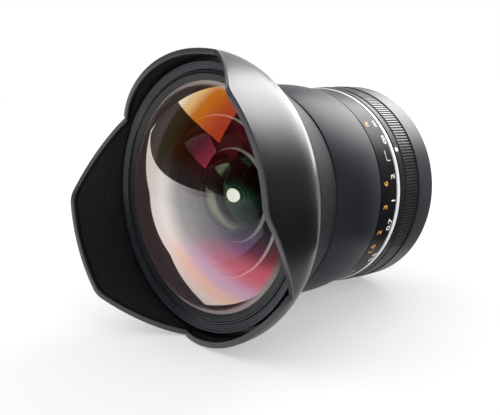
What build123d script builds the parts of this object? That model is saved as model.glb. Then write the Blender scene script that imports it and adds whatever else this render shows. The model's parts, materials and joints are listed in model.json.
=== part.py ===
from build123d import *
import math
import os
from dataclasses import dataclass

# An ultra-wide manual-focus camera lens with a petal hood, lying on its side, in millimetres.
# The optical axis runs along Y and the front of the lens faces -Y. +Z is up.
# The origin is the centre of the mount flange's rear face.
# A station is the distance along the axis from that face towards the front.

os.makedirs("parts", exist_ok=True)

# Outer radii. The hood's follows from the glass and the rings and walls round it.
GLASS_RIM_RADIUS = 38.0
GLASS_RISE = 14.515
BARREL_RADIUS = 36.8
FLANGE_RADIUS = 32.2
TRIM_WIDTH = 3.3
CHANNEL_WIDTH = 2.0
RIDGE_DROP = 3.8

# How far the rings lie under the rear barrel's surface
GRIP_STEP = 0.3
INDEX_STEP = 0.5
ACCENT_STEP = 0.75
SCALE_STEP = 0.95
RING_SEAT_STEP = 1.8
CONE_STEP = 0.2

# How far the focus ring's waist stands above that surface
WAIST_RISE = 0.2

# Lengths of the outer pieces along the axis, from the rear to the front
BARREL_STEP = 0.8
REAR_BARREL_LENGTH = 7.6
GRIP_RING_LENGTH = 8.7
INDEX_RING_LENGTH = 2.7
ACCENT_RING_LENGTH = 1.5
SCALE_RING_LENGTH = 8.8
FOCUS_RING_LENGTH = 23.3
CONE_LENGTH = 16.1
HOOD_LENGTH = 26.7
CELL_STEP = 5.7
RING_GAP = 0.2
SEAM_GAP = 0.3
FELT_GAP = 0.5

# Walls and clearances
HOOD_WALL = 2.0
BARREL_WALL = 2.2
SCALE_WALL = 1.55
SLEEVE_WALL = 2.28
TUBE_WALL = 2.4
CELL_WALL = 2.0
CONE_WALL = 2.1
WEB_THICKNESS = 2.0
EDGE_BREAK = 0.2
SEAT_GAP = 0.02
SCREW_GAP = 0.03
RUNNING_GAP = 0.07
MOVING_GAP = 0.3

# How the lens lies: the index mark is this far round from straight up, towards +X
INDEX_ROLL = 64.0

# Petals of the hood, as angles from the middle of a long petal
PETAL_FLAT_ANGLE = 22.0
PETAL_SLOPE_ANGLE = 56.5
PETAL_SLOPE_DROP = 18.4
SHORT_PETAL_REACH = 32.5
SHORT_PETAL_DROP = 14.7
SHORT_PETAL_CROWN = 3.0

# Focusing
FOCUS_TURN = 180.0
FOCUS_TRAVEL = 1.5
FOLLOWER_RADIUS = 1.2
FOLLOWER_STEP = 5.0
GROOVE_DEPTH = 1.4
GROOVE_OVERRUN = 3.0

# Screws that hold the inner pieces, in sets of three
SCREWS = 3
SCREW_STEP = 360 / SCREWS
RING_SCREW_RADIUS = 1.0
RING_SCREW_TURN = 30
BARREL_SCREW_RADIUS = 0.8
BARREL_SCREW_TURN = 60
CELL_SCREW_RADIUS = 0.7
CELL_SCREW_HEAD = 1.3
IRIS_SCREW_RADIUS = 0.45

# Iris
BLADES = 6
APERTURE_RADIUS = 6.2
BLADE_THICKNESS = 0.15
BLADE_PITCH = 0.25
BLADE_WIDTH = 3.4
BLADE_SWEEP = 106.0
BLADE_TURN = 24.0
DRIVE_TURN = 30.0
PIVOT_RADIUS = 12.5
PIVOT_PIN_RADIUS = 0.5
DRIVE_PIN_RADIUS = 12.9
DRIVE_PIN_ANGLE = -14.0
GEAR_MODULE = 0.4
RING_TEETH = 84
PINION_TEETH = 12
PINION_ANGLE = 200.0
GEAR_WIDTH = 0.9
BACKLASH = 0.08
PRESSURE_ANGLE = math.radians(20)

# Bayonet mount
REGISTER_RADIUS = 26.95
REGISTER_LENGTH = 1.2
NECK_RADIUS = 25.0
NECK_LENGTH = 5.6
NECK_WALL = 1.4
TAB_RADIUS = 26.9
TAB_STATION = -3.2
TAB_THICKNESS = 1.6
TAB_ARC = 50.0
FLANGE_THICKNESS = 2.18
MOUNT_SCREWS = 4
MOUNT_SCREW_CIRCLE = 29.4
MOUNT_SCREW_RADIUS = 1.0
MOUNT_SCREW_HEAD = 1.9
MOUNT_SCREW_TURN = 45
CONTACTS = 8
CONTACT_CIRCLE = 21.8
CONTACT_RADIUS = 0.7
CONTACT_STEP = 7.5

# Grip ribs
RIBS = 208
RIB_DEPTH = 0.45
RIB_SHARE = 0.5
RIB_FOOT_SHARE = 0.84

FORWARD = Vector(0, -1, 0)
LENS_AXIS = Axis((0, 0, 0), (0, -1, 0))


def radial(angle):
    """Unit vector away from the axis, at an angle from the index mark, right-handed about the front."""
    turn = math.radians(angle - INDEX_ROLL)
    return Vector(-math.sin(turn), 0, math.cos(turn))


def facing(station, angle=0):
    """Plane across the axis at a station, facing the front, with its x at an angle from the index."""
    return Plane(origin=FORWARD * station, x_dir=radial(angle), z_dir=FORWARD)


def side(angle=0):
    """Plane through the axis: x is the station and y the distance from the axis at that angle."""
    return Plane(origin=(0, 0, 0), x_dir=FORWARD, z_dir=FORWARD.cross(radial(angle)))


def outward(station, angle, radius=0):
    """Plane facing away from the axis at a station and an angle."""
    start = FORWARD * station + radial(angle) * radius
    return Plane(origin=start, x_dir=FORWARD, z_dir=radial(angle))


def polar(radius, angle):
    """Point in a facing plane."""
    return (radius * math.cos(math.radians(angle)), radius * math.sin(math.radians(angle)))


def finish(piece, label):
    """Names a finished piece and writes its file."""
    piece.part.label = label
    export_step(piece.part, f"parts/{label}.step")


# Stations of the outer pieces
REAR_STEP = BARREL_STEP + REAR_BARREL_LENGTH
GRIP_START = REAR_STEP + RING_GAP
GRIP_END = GRIP_START + GRIP_RING_LENGTH
INDEX_START = GRIP_END + RING_GAP
INDEX_END = INDEX_START + INDEX_RING_LENGTH
ACCENT_START = INDEX_END + RING_GAP
ACCENT_END = ACCENT_START + ACCENT_RING_LENGTH
SCALE_START = ACCENT_END + SEAM_GAP
SCALE_END = SCALE_START + SCALE_RING_LENGTH
FOCUS_START = SCALE_END + SEAM_GAP
FOCUS_END = FOCUS_START + FOCUS_RING_LENGTH
CONE_START = FOCUS_END + FELT_GAP
CONE_END = CONE_START + CONE_LENGTH
HOOD_START = CONE_END + RING_GAP
HOOD_END = HOOD_START + HOOD_LENGTH

# Radii of the outer pieces
CELL_RADIUS = GLASS_RIM_RADIUS + CELL_WALL
TRIM_BORE = CELL_RADIUS + RING_GAP
TRIM_RADIUS = TRIM_BORE + TRIM_WIDTH
HOOD_BORE = TRIM_RADIUS + CHANNEL_WIDTH
HOOD_RADIUS = HOOD_BORE + HOOD_WALL
WAIST_RADIUS = BARREL_RADIUS + WAIST_RISE
RING_SEAT = BARREL_RADIUS - RING_SEAT_STEP
BARREL_BORE = RING_SEAT - BARREL_WALL
GRIP_RADIUS = BARREL_RADIUS - GRIP_STEP
INDEX_RADIUS = BARREL_RADIUS - INDEX_STEP
ACCENT_RADIUS = BARREL_RADIUS - ACCENT_STEP
SCALE_RADIUS = BARREL_RADIUS - SCALE_STEP
FOCUS_BORE = SCALE_RADIUS - SCALE_WALL
SLEEVE_OUTER = FOCUS_BORE - SEAT_GAP
SLEEVE_BORE = SLEEVE_OUTER - SLEEVE_WALL
TUBE_OUTER = SLEEVE_BORE - MOVING_GAP
TUBE_BORE = TUBE_OUTER - TUBE_WALL
CONE_REAR_RADIUS = SCALE_RADIUS + CONE_STEP
RIDGE_RADIUS = HOOD_RADIUS - RIDGE_DROP


@dataclass
class Element:
    """A glass element: rim radius, surface radii (positive where the front bulges) and thickness."""

    rim: float
    front: float
    rear: float
    thickness: float
    vertex: float = 0.0
    front_clear: float = 0.0
    rear_clear: float = 0.0

    def rear_vertex(self):
        """Station of the rear surface on the axis."""
        return self.vertex - self.thickness

    def front_at(self, radius):
        """Station of the front surface at a distance from the axis."""
        return self.vertex - sag(self.front, min(radius, self.front_clear or self.rim))

    def rear_at(self, radius):
        """Station of the rear surface at a distance from the axis."""
        return self.rear_vertex() - sag(self.rear, min(radius, self.rear_clear or self.rim))


def sag(curve, radius):
    """How far a sphere of the given radius falls back at a distance from the axis."""
    return math.copysign(abs(curve) - math.sqrt(curve * curve - radius * radius), curve)


# Front group, from the front: two large menisci, a small meniscus and a cemented pair
CELL_FRONT = HOOD_START + CELL_STEP
GLASS_CURVE = (GLASS_RIM_RADIUS * GLASS_RIM_RADIUS + GLASS_RISE * GLASS_RISE) / (2 * GLASS_RISE)
ELEMENTS = {
    1: Element(rim=GLASS_RIM_RADIUS, front=GLASS_CURVE, rear=30, thickness=3.3, rear_clear=27),
    2: Element(rim=24.5, front=36, rear=17.5, thickness=2.5, front_clear=23.5, rear_clear=16),
    3: Element(rim=16.0, front=28, rear=12.5, thickness=1.8, front_clear=15.5, rear_clear=11),
    4: Element(rim=11.5, front=-40, rear=18, thickness=1.2, front_clear=10.5),
    5: Element(rim=11.5, front=18, rear=-45, thickness=6.78),
    6: Element(rim=8.0, front=22, rear=-30, thickness=3.5, front_clear=7.8, rear_clear=7.8),
    7: Element(rim=8.5, front=-25, rear=13, thickness=1.2, front_clear=8.0),
    8: Element(rim=8.5, front=13, rear=-26, thickness=5.48),
    9: Element(rim=9.5, front=40, rear=-28, thickness=3.5, front_clear=9.3, rear_clear=9.3),
    10: Element(rim=11.0, front=-35, rear=17, thickness=1.2, front_clear=10.0),
    11: Element(rim=11.0, front=17, rear=-24, thickness=7.38),
    12: Element(rim=12.5, front=60, rear=-60, thickness=3.8, front_clear=12.2, rear_clear=12.2),
    13: Element(rim=13.5, front=-50, rear=-200, thickness=1.4, front_clear=12.5, rear_clear=13.0),
}
AIR_BEFORE = {2: 10.7, 3: 8.0, 4: 10.2, 5: 0.02, 6: 12.5, 7: 1.5, 8: 0.02, 9: 1.0, 10: 1.5,
              11: 0.02, 12: 0.8, 13: 1.0}

ELEMENTS[1].vertex = CELL_FRONT + sag(ELEMENTS[1].front, ELEMENTS[1].rim)
for number, air in AIR_BEFORE.items():
    ELEMENTS[number].vertex = ELEMENTS[number - 1].rear_vertex() - air


def shoulder(number):
    """Station of a lens seat that faces an element's rear rim."""
    return ELEMENTS[number].rear_at(ELEMENTS[number].rim) - SEAT_GAP


def ledge(number):
    """Station of a lens seat that faces an element's front rim."""
    return ELEMENTS[number].front_at(ELEMENTS[number].rim) + SEAT_GAP


def bore(number):
    """Radius of the bore that an element sits in."""
    return ELEMENTS[number].rim + SEAT_GAP


# Glass elements
for number, glass in ELEMENTS.items():
    front_edge = glass.front_clear or glass.rim
    rear_edge = glass.rear_clear or glass.rim
    with BuildPart() as element:
        with BuildSketch(side()):
            with BuildLine():
                front_arc = ThreePointArc(
                    (glass.vertex, 0),
                    (glass.front_at(front_edge / 2), front_edge / 2),
                    (glass.front_at(front_edge), front_edge),
                )
                rear_arc = ThreePointArc(
                    (glass.rear_vertex(), 0),
                    (glass.rear_at(rear_edge / 2), rear_edge / 2),
                    (glass.rear_at(rear_edge), rear_edge),
                )
                rim_front = (glass.front_at(glass.rim), glass.rim)
                rim_rear = (glass.rear_at(glass.rim), glass.rim)
                if front_edge < glass.rim:
                    Line(front_arc @ 1, rim_front)
                Line(rim_front, rim_rear)
                if rear_edge < glass.rim:
                    Line(rim_rear, rear_arc @ 1)
                Line(front_arc @ 0, rear_arc @ 0)
            make_face()
        revolve(axis=LENS_AXIS)
    finish(element, f"element_{number:02d}")

# Front barrel: the cone behind the hood, with the seat for the front cell
SEAT_WALL = 2.27
CELL_SEAT = shoulder(1) - SEAT_WALL
CELL_LEDGE = 4.0
RIDGE_WALL = 0.8
HOOD_SEAT_RADIUS = RIDGE_RADIUS - RIDGE_WALL
FRONT_BARREL_END = CELL_FRONT - 1.0
SPIGOT_RADIUS = TUBE_OUTER - TUBE_WALL / 2 - 0.1
SHOULDER_START = CELL_SEAT - 3.0


def cone_radius(station):
    """Outer radius of the cone at a station."""
    share = (station - CONE_START) / CONE_LENGTH
    return CONE_REAR_RADIUS + share * (RIDGE_RADIUS - CONE_STEP - CONE_REAR_RADIUS)


with BuildPart() as front_barrel:
    with BuildSketch(side()):
        Polygon(
            (CONE_START, cone_radius(CONE_START)),
            (CONE_END, cone_radius(CONE_END)),
            (CONE_END, HOOD_SEAT_RADIUS),
            (FRONT_BARREL_END, HOOD_SEAT_RADIUS),
            (FRONT_BARREL_END, CELL_RADIUS + SEAT_GAP),
            (CELL_SEAT, CELL_RADIUS + SEAT_GAP),
            (CELL_SEAT, CELL_RADIUS - CELL_LEDGE),
            (SHOULDER_START, CELL_RADIUS - CELL_LEDGE),
            (SHOULDER_START, cone_radius(SHOULDER_START) - CONE_WALL),
            (CONE_START + WEB_THICKNESS, cone_radius(CONE_START + WEB_THICKNESS) - CONE_WALL),
            (CONE_START + WEB_THICKNESS, SPIGOT_RADIUS + SEAT_GAP),
            (CONE_START, SPIGOT_RADIUS + SEAT_GAP),
        )
    revolve(axis=LENS_AXIS)
    cone_edge = front_barrel.edges().filter_by(GeomType.CIRCLE).sort_by(SortBy.RADIUS)[-1]
    chamfer(cone_edge, EDGE_BREAK)
finish(front_barrel, "front_barrel")

# Petal hood: a turned shell whose rim is cut by two wide notches, one each side
NOTCH_NEAR = 12.0
NOTCH_FAR = HOOD_RADIUS + 4.0
SLOPE_STEPS = 4
HOOD_FOOT = 3.0
RIDGE_RUN = 11.6


def petal_rim(away):
    """Station of the hood's rim on a long petal's slope, by the angle from the petal's middle."""
    share = (away - PETAL_FLAT_ANGLE) / (PETAL_SLOPE_ANGLE - PETAL_FLAT_ANGLE)
    return HOOD_END - PETAL_SLOPE_DROP * share


def notch_outline(distance):
    """The notch's half outline on a plane at a distance from the axis, from its middle outwards."""
    crown = HOOD_END - SHORT_PETAL_DROP
    corner = distance * math.tan(math.radians(SHORT_PETAL_REACH))
    slope = []
    for step in range(SLOPE_STEPS + 1):
        away = PETAL_SLOPE_ANGLE + (PETAL_FLAT_ANGLE + 2 - PETAL_SLOPE_ANGLE) * step / SLOPE_STEPS
        slope.append((distance * math.tan(math.radians(90 - away)), petal_rim(away)))
    over = distance * math.tan(math.radians(90 - PETAL_FLAT_ANGLE + 3))
    return crown, (corner, crown - SHORT_PETAL_CROWN), slope, over


def notch_face(plane, distance):
    """The notch's whole outline as a face on one plane."""
    crown, corner, slope, over = notch_outline(distance)
    end = slope[-1]
    with BuildSketch(plane) as face:
        with BuildLine():
            ThreePointArc((-corner[0], corner[1]), (0, crown), corner)
            for sign in (1, -1):
                Line((sign * corner[0], corner[1]), (sign * slope[0][0], slope[0][1]))
                Spline(*[(sign * across, station) for across, station in slope])
                ThreePointArc(
                    (sign * end[0], end[1]),
                    (sign * (end[0] * 0.55 + over * 0.45), HOOD_END - 0.25),
                    (sign * over, HOOD_END + 0.02),
                )
                Line((sign * over, HOOD_END + 0.02), (sign * over, HOOD_END + 2))
            Line((over, HOOD_END + 2), (-over, HOOD_END + 2))
        make_face()
    return face


with BuildPart() as hood_shell:
    with BuildSketch(side()):
        with BuildLine():
            ridge = Spline(
                (HOOD_START, RIDGE_RADIUS),
                (HOOD_START + 0.14 * RIDGE_RUN, HOOD_RADIUS - 0.66 * RIDGE_DROP),
                (HOOD_START + 0.31 * RIDGE_RUN, HOOD_RADIUS - 0.34 * RIDGE_DROP),
                (HOOD_START + 0.57 * RIDGE_RUN, HOOD_RADIUS - 0.13 * RIDGE_DROP),
                (HOOD_START + RIDGE_RUN, HOOD_RADIUS),
                tangents=[(0.55, 1), (1, 0)],
            )
            Polyline(
                ridge @ 1,
                (HOOD_END, HOOD_RADIUS),
                (HOOD_END, HOOD_BORE),
                (HOOD_START + HOOD_FOOT, HOOD_BORE),
                (HOOD_START + HOOD_FOOT, HOOD_SEAT_RADIUS + SEAT_GAP),
                (HOOD_START, HOOD_SEAT_RADIUS + SEAT_GAP),
                ridge @ 0,
            )
        make_face()
    revolve(axis=LENS_AXIS)
    for short_petal in (90, -90):
        away_from_axis = radial(short_petal)
        across = FORWARD.cross(away_from_axis)
        near = notch_face(
            Plane(away_from_axis * NOTCH_NEAR, x_dir=across, z_dir=away_from_axis), NOTCH_NEAR
        )
        far = notch_face(
            Plane(away_from_axis * NOTCH_FAR, x_dir=across, z_dir=away_from_axis), NOTCH_FAR
        )
        notch = loft([near.sketch.face(), far.sketch.face()], ruled=True, mode=Mode.PRIVATE)
        add(notch, mode=Mode.SUBTRACT)
finish(hood_shell, "hood_shell")

# Trim ring round the front glass, with a shallow dished face
TRIM_SEAT = FRONT_BARREL_END + SEAT_GAP
TRIM_TAIL = HOOD_START + HOOD_FOOT + 0.2
TRIM_LIP = CELL_FRONT + 1.25
TRIM_LIP_WIDTH = 0.4
TRIM_DISH = CELL_FRONT + 0.8
TRIM_EDGE = CELL_FRONT + 1.5
with BuildPart() as trim_ring:
    with BuildSketch(side()):
        Polygon(
            (TRIM_SEAT, TRIM_BORE),
            (TRIM_LIP, TRIM_BORE),
            (TRIM_LIP, TRIM_BORE + TRIM_LIP_WIDTH),
            (TRIM_DISH, TRIM_BORE + 2 * TRIM_LIP_WIDTH),
            (TRIM_EDGE, TRIM_RADIUS),
            (TRIM_TAIL, TRIM_RADIUS),
            (TRIM_TAIL, HOOD_SEAT_RADIUS + SEAT_GAP),
            (TRIM_SEAT, HOOD_SEAT_RADIUS + SEAT_GAP),
        )
    revolve(axis=LENS_AXIS)
finish(trim_ring, "trim_ring")

# Front cell: a funnel that holds elements 1 and 2
FUNNEL_WALL = 1.5
SECOND_CELL_RADIUS = ELEMENTS[3].rim + CELL_WALL
SECOND_CELL_FRONT = ledge(3) + 0.3
FUNNEL_END = shoulder(3) - 1.1
with BuildPart() as front_cell:
    with BuildSketch(side()):
        Polygon(
            (CELL_FRONT, bore(1)),
            (shoulder(1), bore(1)),
            (shoulder(1), bore(2)),
            (shoulder(2), bore(2)),
            (shoulder(2), SECOND_CELL_RADIUS + SEAT_GAP),
            (FUNNEL_END, SECOND_CELL_RADIUS + SEAT_GAP),
            (FUNNEL_END, SECOND_CELL_RADIUS + CELL_WALL),
            (shoulder(2) - FUNNEL_WALL, SECOND_CELL_RADIUS + CELL_WALL),
            (shoulder(2) - FUNNEL_WALL, bore(2) + CELL_WALL),
            (CELL_SEAT - 1.0, bore(2) + CELL_WALL),
            (CELL_SEAT - 1.0, CELL_RADIUS - CELL_LEDGE - RUNNING_GAP),
            (CELL_SEAT + SEAT_GAP, CELL_RADIUS - CELL_LEDGE - RUNNING_GAP),
            (CELL_SEAT + SEAT_GAP, CELL_RADIUS),
            (CELL_FRONT, CELL_RADIUS),
        )
    revolve(axis=LENS_AXIS)
finish(front_cell, "front_cell")

# Bevelled ring that holds the front element
BEVEL_HEIGHT = 1.1
BEVEL_OVERLAP = 0.3
with BuildPart() as front_retaining_ring:
    with BuildSketch(side()):
        Polygon(
            (CELL_FRONT + SEAT_GAP, CELL_RADIUS - SEAT_GAP),
            (CELL_FRONT + BEVEL_HEIGHT, CELL_RADIUS - SEAT_GAP),
            (CELL_FRONT + BEVEL_HEIGHT, CELL_RADIUS - CELL_WALL / 4),
            (CELL_FRONT + BEVEL_HEIGHT / 2, GLASS_RIM_RADIUS - BEVEL_OVERLAP),
            (CELL_FRONT + BEVEL_OVERLAP + 0.12, GLASS_RIM_RADIUS - BEVEL_OVERLAP),
            (CELL_FRONT + SEAT_GAP, GLASS_RIM_RADIUS + SEAT_GAP),
        )
    revolve(axis=LENS_AXIS)
finish(front_retaining_ring, "front_retaining_ring")

# Ring that holds element 2 in the front cell
RETAINER_WIDTH = 0.9
RETAINER_HEIGHT = 1.4
with BuildPart() as second_retaining_ring:
    with BuildSketch(side()):
        Polygon(
            (ledge(2), ELEMENTS[2].rim),
            (ledge(2) + RETAINER_HEIGHT, ELEMENTS[2].rim),
            (ledge(2) + RETAINER_HEIGHT, ELEMENTS[2].rim - RETAINER_WIDTH),
            (ledge(2), ELEMENTS[2].rim - RETAINER_WIDTH),
        )
    revolve(axis=LENS_AXIS)
finish(second_retaining_ring, "second_retaining_ring")

# Second cell: elements 3, 4 and 5
SECOND_CELL_REAR = shoulder(5) - 1.87
SECOND_TUBE_RADIUS = ELEMENTS[4].rim + CELL_WALL
FOURTH_LIP = 0.8
with BuildPart() as second_cell:
    with BuildSketch(side()):
        Polygon(
            (SECOND_CELL_FRONT, bore(3)),
            (shoulder(3), bore(3)),
            (shoulder(3), ELEMENTS[4].rim - FOURTH_LIP),
            (ledge(4), ELEMENTS[4].rim - FOURTH_LIP),
            (ledge(4), bore(4)),
            (SECOND_CELL_REAR, bore(4)),
            (SECOND_CELL_REAR, SECOND_TUBE_RADIUS),
            (FUNNEL_END - 0.5, SECOND_TUBE_RADIUS),
            (FUNNEL_END - 0.5, SECOND_CELL_RADIUS),
            (SECOND_CELL_FRONT, SECOND_CELL_RADIUS),
        )
    revolve(axis=LENS_AXIS)
finish(second_cell, "second_cell")

# Rings that hold element 3 from the front and the cemented pair from the rear
THIRD_RING_HEIGHT = 1.0
FIFTH_RING_WIDTH = 1.7
FIFTH_RING_HEIGHT = 1.05
with BuildPart() as third_retaining_ring:
    with BuildSketch(side()):
        Polygon(
            (SECOND_CELL_FRONT + SEAT_GAP, SECOND_CELL_RADIUS - 0.1),
            (SECOND_CELL_FRONT + THIRD_RING_HEIGHT, SECOND_CELL_RADIUS - 0.1),
            (SECOND_CELL_FRONT + THIRD_RING_HEIGHT, ELEMENTS[3].rim - 0.45),
            (SECOND_CELL_FRONT + SEAT_GAP, ELEMENTS[3].rim - 0.45),
        )
    revolve(axis=LENS_AXIS)
finish(third_retaining_ring, "third_retaining_ring")

with BuildPart() as fifth_retaining_ring:
    inner = ELEMENTS[5].rim - FIFTH_RING_WIDTH
    held = ELEMENTS[5].rear_at(inner) - SEAT_GAP
    with BuildSketch(side()):
        Polygon(
            (held, ELEMENTS[5].rim),
            (held, inner),
            (held - FIFTH_RING_HEIGHT, inner),
            (held - FIFTH_RING_HEIGHT, ELEMENTS[5].rim),
        )
    revolve(axis=LENS_AXIS)
finish(fifth_retaining_ring, "fifth_retaining_ring")

# Iris unit, on the rear of the second cell. Its blades lie one behind another.
IRIS_FRONT = SECOND_CELL_REAR - 2.1
IRIS_PLATE = 1.0
IRIS_RADIUS = 24.4
IRIS_WALL = 1.6
BLADE_START = IRIS_FRONT - IRIS_PLATE - 0.1
RING_FRONT = BLADE_START - BLADES * BLADE_PITCH - 0.1
RING_REAR = RING_FRONT - GEAR_WIDTH
COVER_FRONT = RING_REAR - 0.2
COVER_SEAT = COVER_FRONT - 1.1
IRIS_REAR = COVER_SEAT - 0.7
RING_BORE = 10.8
PIVOTS = 360 / BLADES
IRIS_SCREW_LENGTH = 3.0
IRIS_HUB_HEIGHT = 1.9
IRIS_HUB_WALL = 1.8
IRIS_SCREW_CIRCLE = IRIS_RADIUS - IRIS_WALL / 2
PITCH_DISTANCE = GEAR_MODULE * (RING_TEETH + PINION_TEETH) / 2
MOTOR_RADIUS = 3.4
SHAFT_RADIUS = 0.5
MOTOR_LENGTH = 9.0

with BuildPart() as iris_base:
    with BuildSketch(side()):
        Polygon(
            (IRIS_FRONT - IRIS_PLATE, APERTURE_RADIUS),
            (IRIS_FRONT, APERTURE_RADIUS),
            (IRIS_FRONT, SECOND_TUBE_RADIUS + SEAT_GAP),
            (SECOND_CELL_REAR + IRIS_HUB_HEIGHT, SECOND_TUBE_RADIUS + SEAT_GAP),
            (SECOND_CELL_REAR + IRIS_HUB_HEIGHT, SECOND_TUBE_RADIUS + IRIS_HUB_WALL),
            (IRIS_FRONT, SECOND_TUBE_RADIUS + IRIS_HUB_WALL),
            (IRIS_FRONT, IRIS_RADIUS),
            (COVER_SEAT + SEAT_GAP, IRIS_RADIUS),
            (COVER_SEAT + SEAT_GAP, IRIS_RADIUS - IRIS_WALL),
            (IRIS_FRONT - IRIS_PLATE, IRIS_RADIUS - IRIS_WALL),
        )
    revolve(axis=LENS_AXIS)
    with BuildSketch(facing(IRIS_FRONT)):
        with PolarLocations(PIVOT_RADIUS, BLADES):
            Circle(PIVOT_PIN_RADIUS + RUNNING_GAP)
        with Locations(polar(PITCH_DISTANCE, PINION_ANGLE)):
            Circle(SHAFT_RADIUS + 0.25)
    extrude(amount=-IRIS_PLATE, mode=Mode.SUBTRACT)
    with BuildSketch(facing(COVER_SEAT)):
        with PolarLocations(IRIS_SCREW_CIRCLE, SCREWS):
            Circle(IRIS_SCREW_RADIUS + SCREW_GAP)
    extrude(amount=IRIS_SCREW_LENGTH, mode=Mode.SUBTRACT)
finish(iris_base, "iris_base")

with BuildPart() as iris_cover:
    with BuildSketch(side()):
        Polygon(
            (IRIS_REAR, APERTURE_RADIUS + 0.4),
            (COVER_FRONT, APERTURE_RADIUS + 0.4),
            (COVER_FRONT, RING_BORE - 1.2),
            (RING_FRONT - 0.2, RING_BORE - 1.2),
            (RING_FRONT - 0.2, RING_BORE - RUNNING_GAP),
            (COVER_FRONT, RING_BORE - RUNNING_GAP),
            (COVER_FRONT, IRIS_RADIUS - IRIS_WALL - 0.1),
            (COVER_SEAT, IRIS_RADIUS - IRIS_WALL - 0.1),
            (COVER_SEAT, IRIS_RADIUS),
            (IRIS_REAR, IRIS_RADIUS),
        )
    revolve(axis=LENS_AXIS)
    with BuildSketch(facing(IRIS_REAR)):
        with PolarLocations(IRIS_SCREW_CIRCLE, SCREWS):
            Circle(IRIS_SCREW_RADIUS + SCREW_GAP)
    extrude(amount=IRIS_SCREW_LENGTH, mode=Mode.SUBTRACT)
finish(iris_cover, "iris_cover")

with BuildPart() as iris_screws:
    with BuildSketch(facing(IRIS_REAR - SEAT_GAP)):
        with PolarLocations(IRIS_SCREW_CIRCLE, SCREWS):
            Circle(IRIS_SCREW_RADIUS + 0.3)
    extrude(amount=-0.5)
    with BuildSketch(facing(IRIS_REAR - SEAT_GAP)):
        with PolarLocations(IRIS_SCREW_CIRCLE, SCREWS):
            Circle(IRIS_SCREW_RADIUS)
    extrude(amount=IRIS_SCREW_LENGTH)
finish(iris_screws, "iris_screws")

# Iris blades: each turns on its front pin and is driven by its rear pin
BLADE_MIDDLE = APERTURE_RADIUS + 0.4 + BLADE_WIDTH / 2
BLADE_LINE = CenterArc((0, 0), BLADE_MIDDLE, 0, BLADE_SWEEP)


def iris_blade(number):
    """One blade, in its own layer behind the base plate."""
    top = BLADE_START - number * BLADE_PITCH
    layer = facing(top - BLADE_THICKNESS, number * PIVOTS)
    with BuildPart() as blade:
        with BuildSketch(layer):
            with Locations((PIVOT_RADIUS, 0)):
                Circle(PIVOT_PIN_RADIUS + 0.8)
            with Locations(polar(DRIVE_PIN_RADIUS, DRIVE_PIN_ANGLE)):
                Circle(PIVOT_PIN_RADIUS + 0.6)
            with Locations(polar(BLADE_MIDDLE, 6)):
                Circle(BLADE_WIDTH / 2 - 0.1)
            make_hull()
            SlotArc(BLADE_LINE, BLADE_WIDTH)
        extrude(amount=BLADE_THICKNESS)
        with BuildSketch(layer):
            with Locations((PIVOT_RADIUS, 0)):
                Circle(PIVOT_PIN_RADIUS)
        extrude(amount=IRIS_FRONT - 0.15 - top + BLADE_THICKNESS)
        with BuildSketch(layer):
            with Locations(polar(DRIVE_PIN_RADIUS, DRIVE_PIN_ANGLE)):
                Circle(PIVOT_PIN_RADIUS)
        extrude(amount=RING_REAR + 0.1 - top + BLADE_THICKNESS)
    return blade


for number in range(BLADES):
    finish(iris_blade(number), f"iris_blade_{number + 1}")


def drive_pin_path(share):
    """Centre of a blade's drive pin as the drive ring sees it, part of the way through its turn."""
    arm = Vector(*polar(DRIVE_PIN_RADIUS, DRIVE_PIN_ANGLE)) - Vector(PIVOT_RADIUS, 0)
    place = Vector(PIVOT_RADIUS, 0) + arm.rotate(Axis.Z, BLADE_TURN * share)
    return place.rotate(Axis.Z, -DRIVE_TURN * share)


TOOTH_TIP = 0.85
TOOTH_ROOT = 1.2
FLANK_STEPS = 3


def gear_outline(teeth, backlash):
    """Points round an involute gear whose first tooth points along x."""
    pitch = GEAR_MODULE * teeth / 2
    base = pitch * math.cos(PRESSURE_ANGLE)
    tip = pitch + TOOTH_TIP * GEAR_MODULE
    root = pitch - TOOTH_ROOT * GEAR_MODULE
    at_pitch = math.tan(PRESSURE_ANGLE) - PRESSURE_ANGLE
    half_tooth = math.pi / (2 * teeth) - backlash / (2 * pitch)
    flank = []
    for step in range(FLANK_STEPS + 1):
        radius = max(base, root) + (tip - max(base, root)) * step / FLANK_STEPS
        roll = math.acos(min(1, base / radius))
        flank.append((radius, half_tooth + at_pitch - (math.tan(roll) - roll)))
    flank.insert(0, (root, flank[0][1]))
    points = []
    for tooth in range(teeth):
        middle = 360 * tooth / teeth
        for radius, half in flank:
            points.append(polar(radius, middle - math.degrees(half)))
        for radius, half in reversed(flank):
            points.append(polar(radius, middle + math.degrees(half)))
    return points


RING_ROOT = GEAR_MODULE * (RING_TEETH / 2 - TOOTH_ROOT)
SLOT_PATH = ThreePointArc(drive_pin_path(-0.03), drive_pin_path(0.5), drive_pin_path(1.03))
SLOT_WIDTH = 2 * (PIVOT_PIN_RADIUS + 0.12)
RING_SECTOR_SPARE = 16
RING_SECTOR_START = PINION_ANGLE - DRIVE_TURN - RING_SECTOR_SPARE
RING_SECTOR_END = PINION_ANGLE + RING_SECTOR_SPARE
SECTOR_MIDDLE = (RING_SECTOR_START + RING_SECTOR_END) / 2

with BuildPart() as iris_drive_ring:
    with BuildSketch(facing(RING_REAR)):
        gear_turn = PINION_ANGLE + 180 / RING_TEETH
        Polygon(*gear_outline(RING_TEETH, BACKLASH), rotation=gear_turn)
        Polygon(
            (0, 0),
            polar(2 * RING_ROOT, RING_SECTOR_START),
            polar(2 * RING_ROOT, SECTOR_MIDDLE),
            polar(2 * RING_ROOT, RING_SECTOR_END),
            mode=Mode.INTERSECT,
        )
        Circle(RING_ROOT)
        Circle(RING_BORE, mode=Mode.SUBTRACT)
        with PolarLocations(0, BLADES):
            SlotArc(SLOT_PATH, SLOT_WIDTH, mode=Mode.SUBTRACT)
    extrude(amount=GEAR_WIDTH)
finish(iris_drive_ring, "iris_drive_ring")

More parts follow.
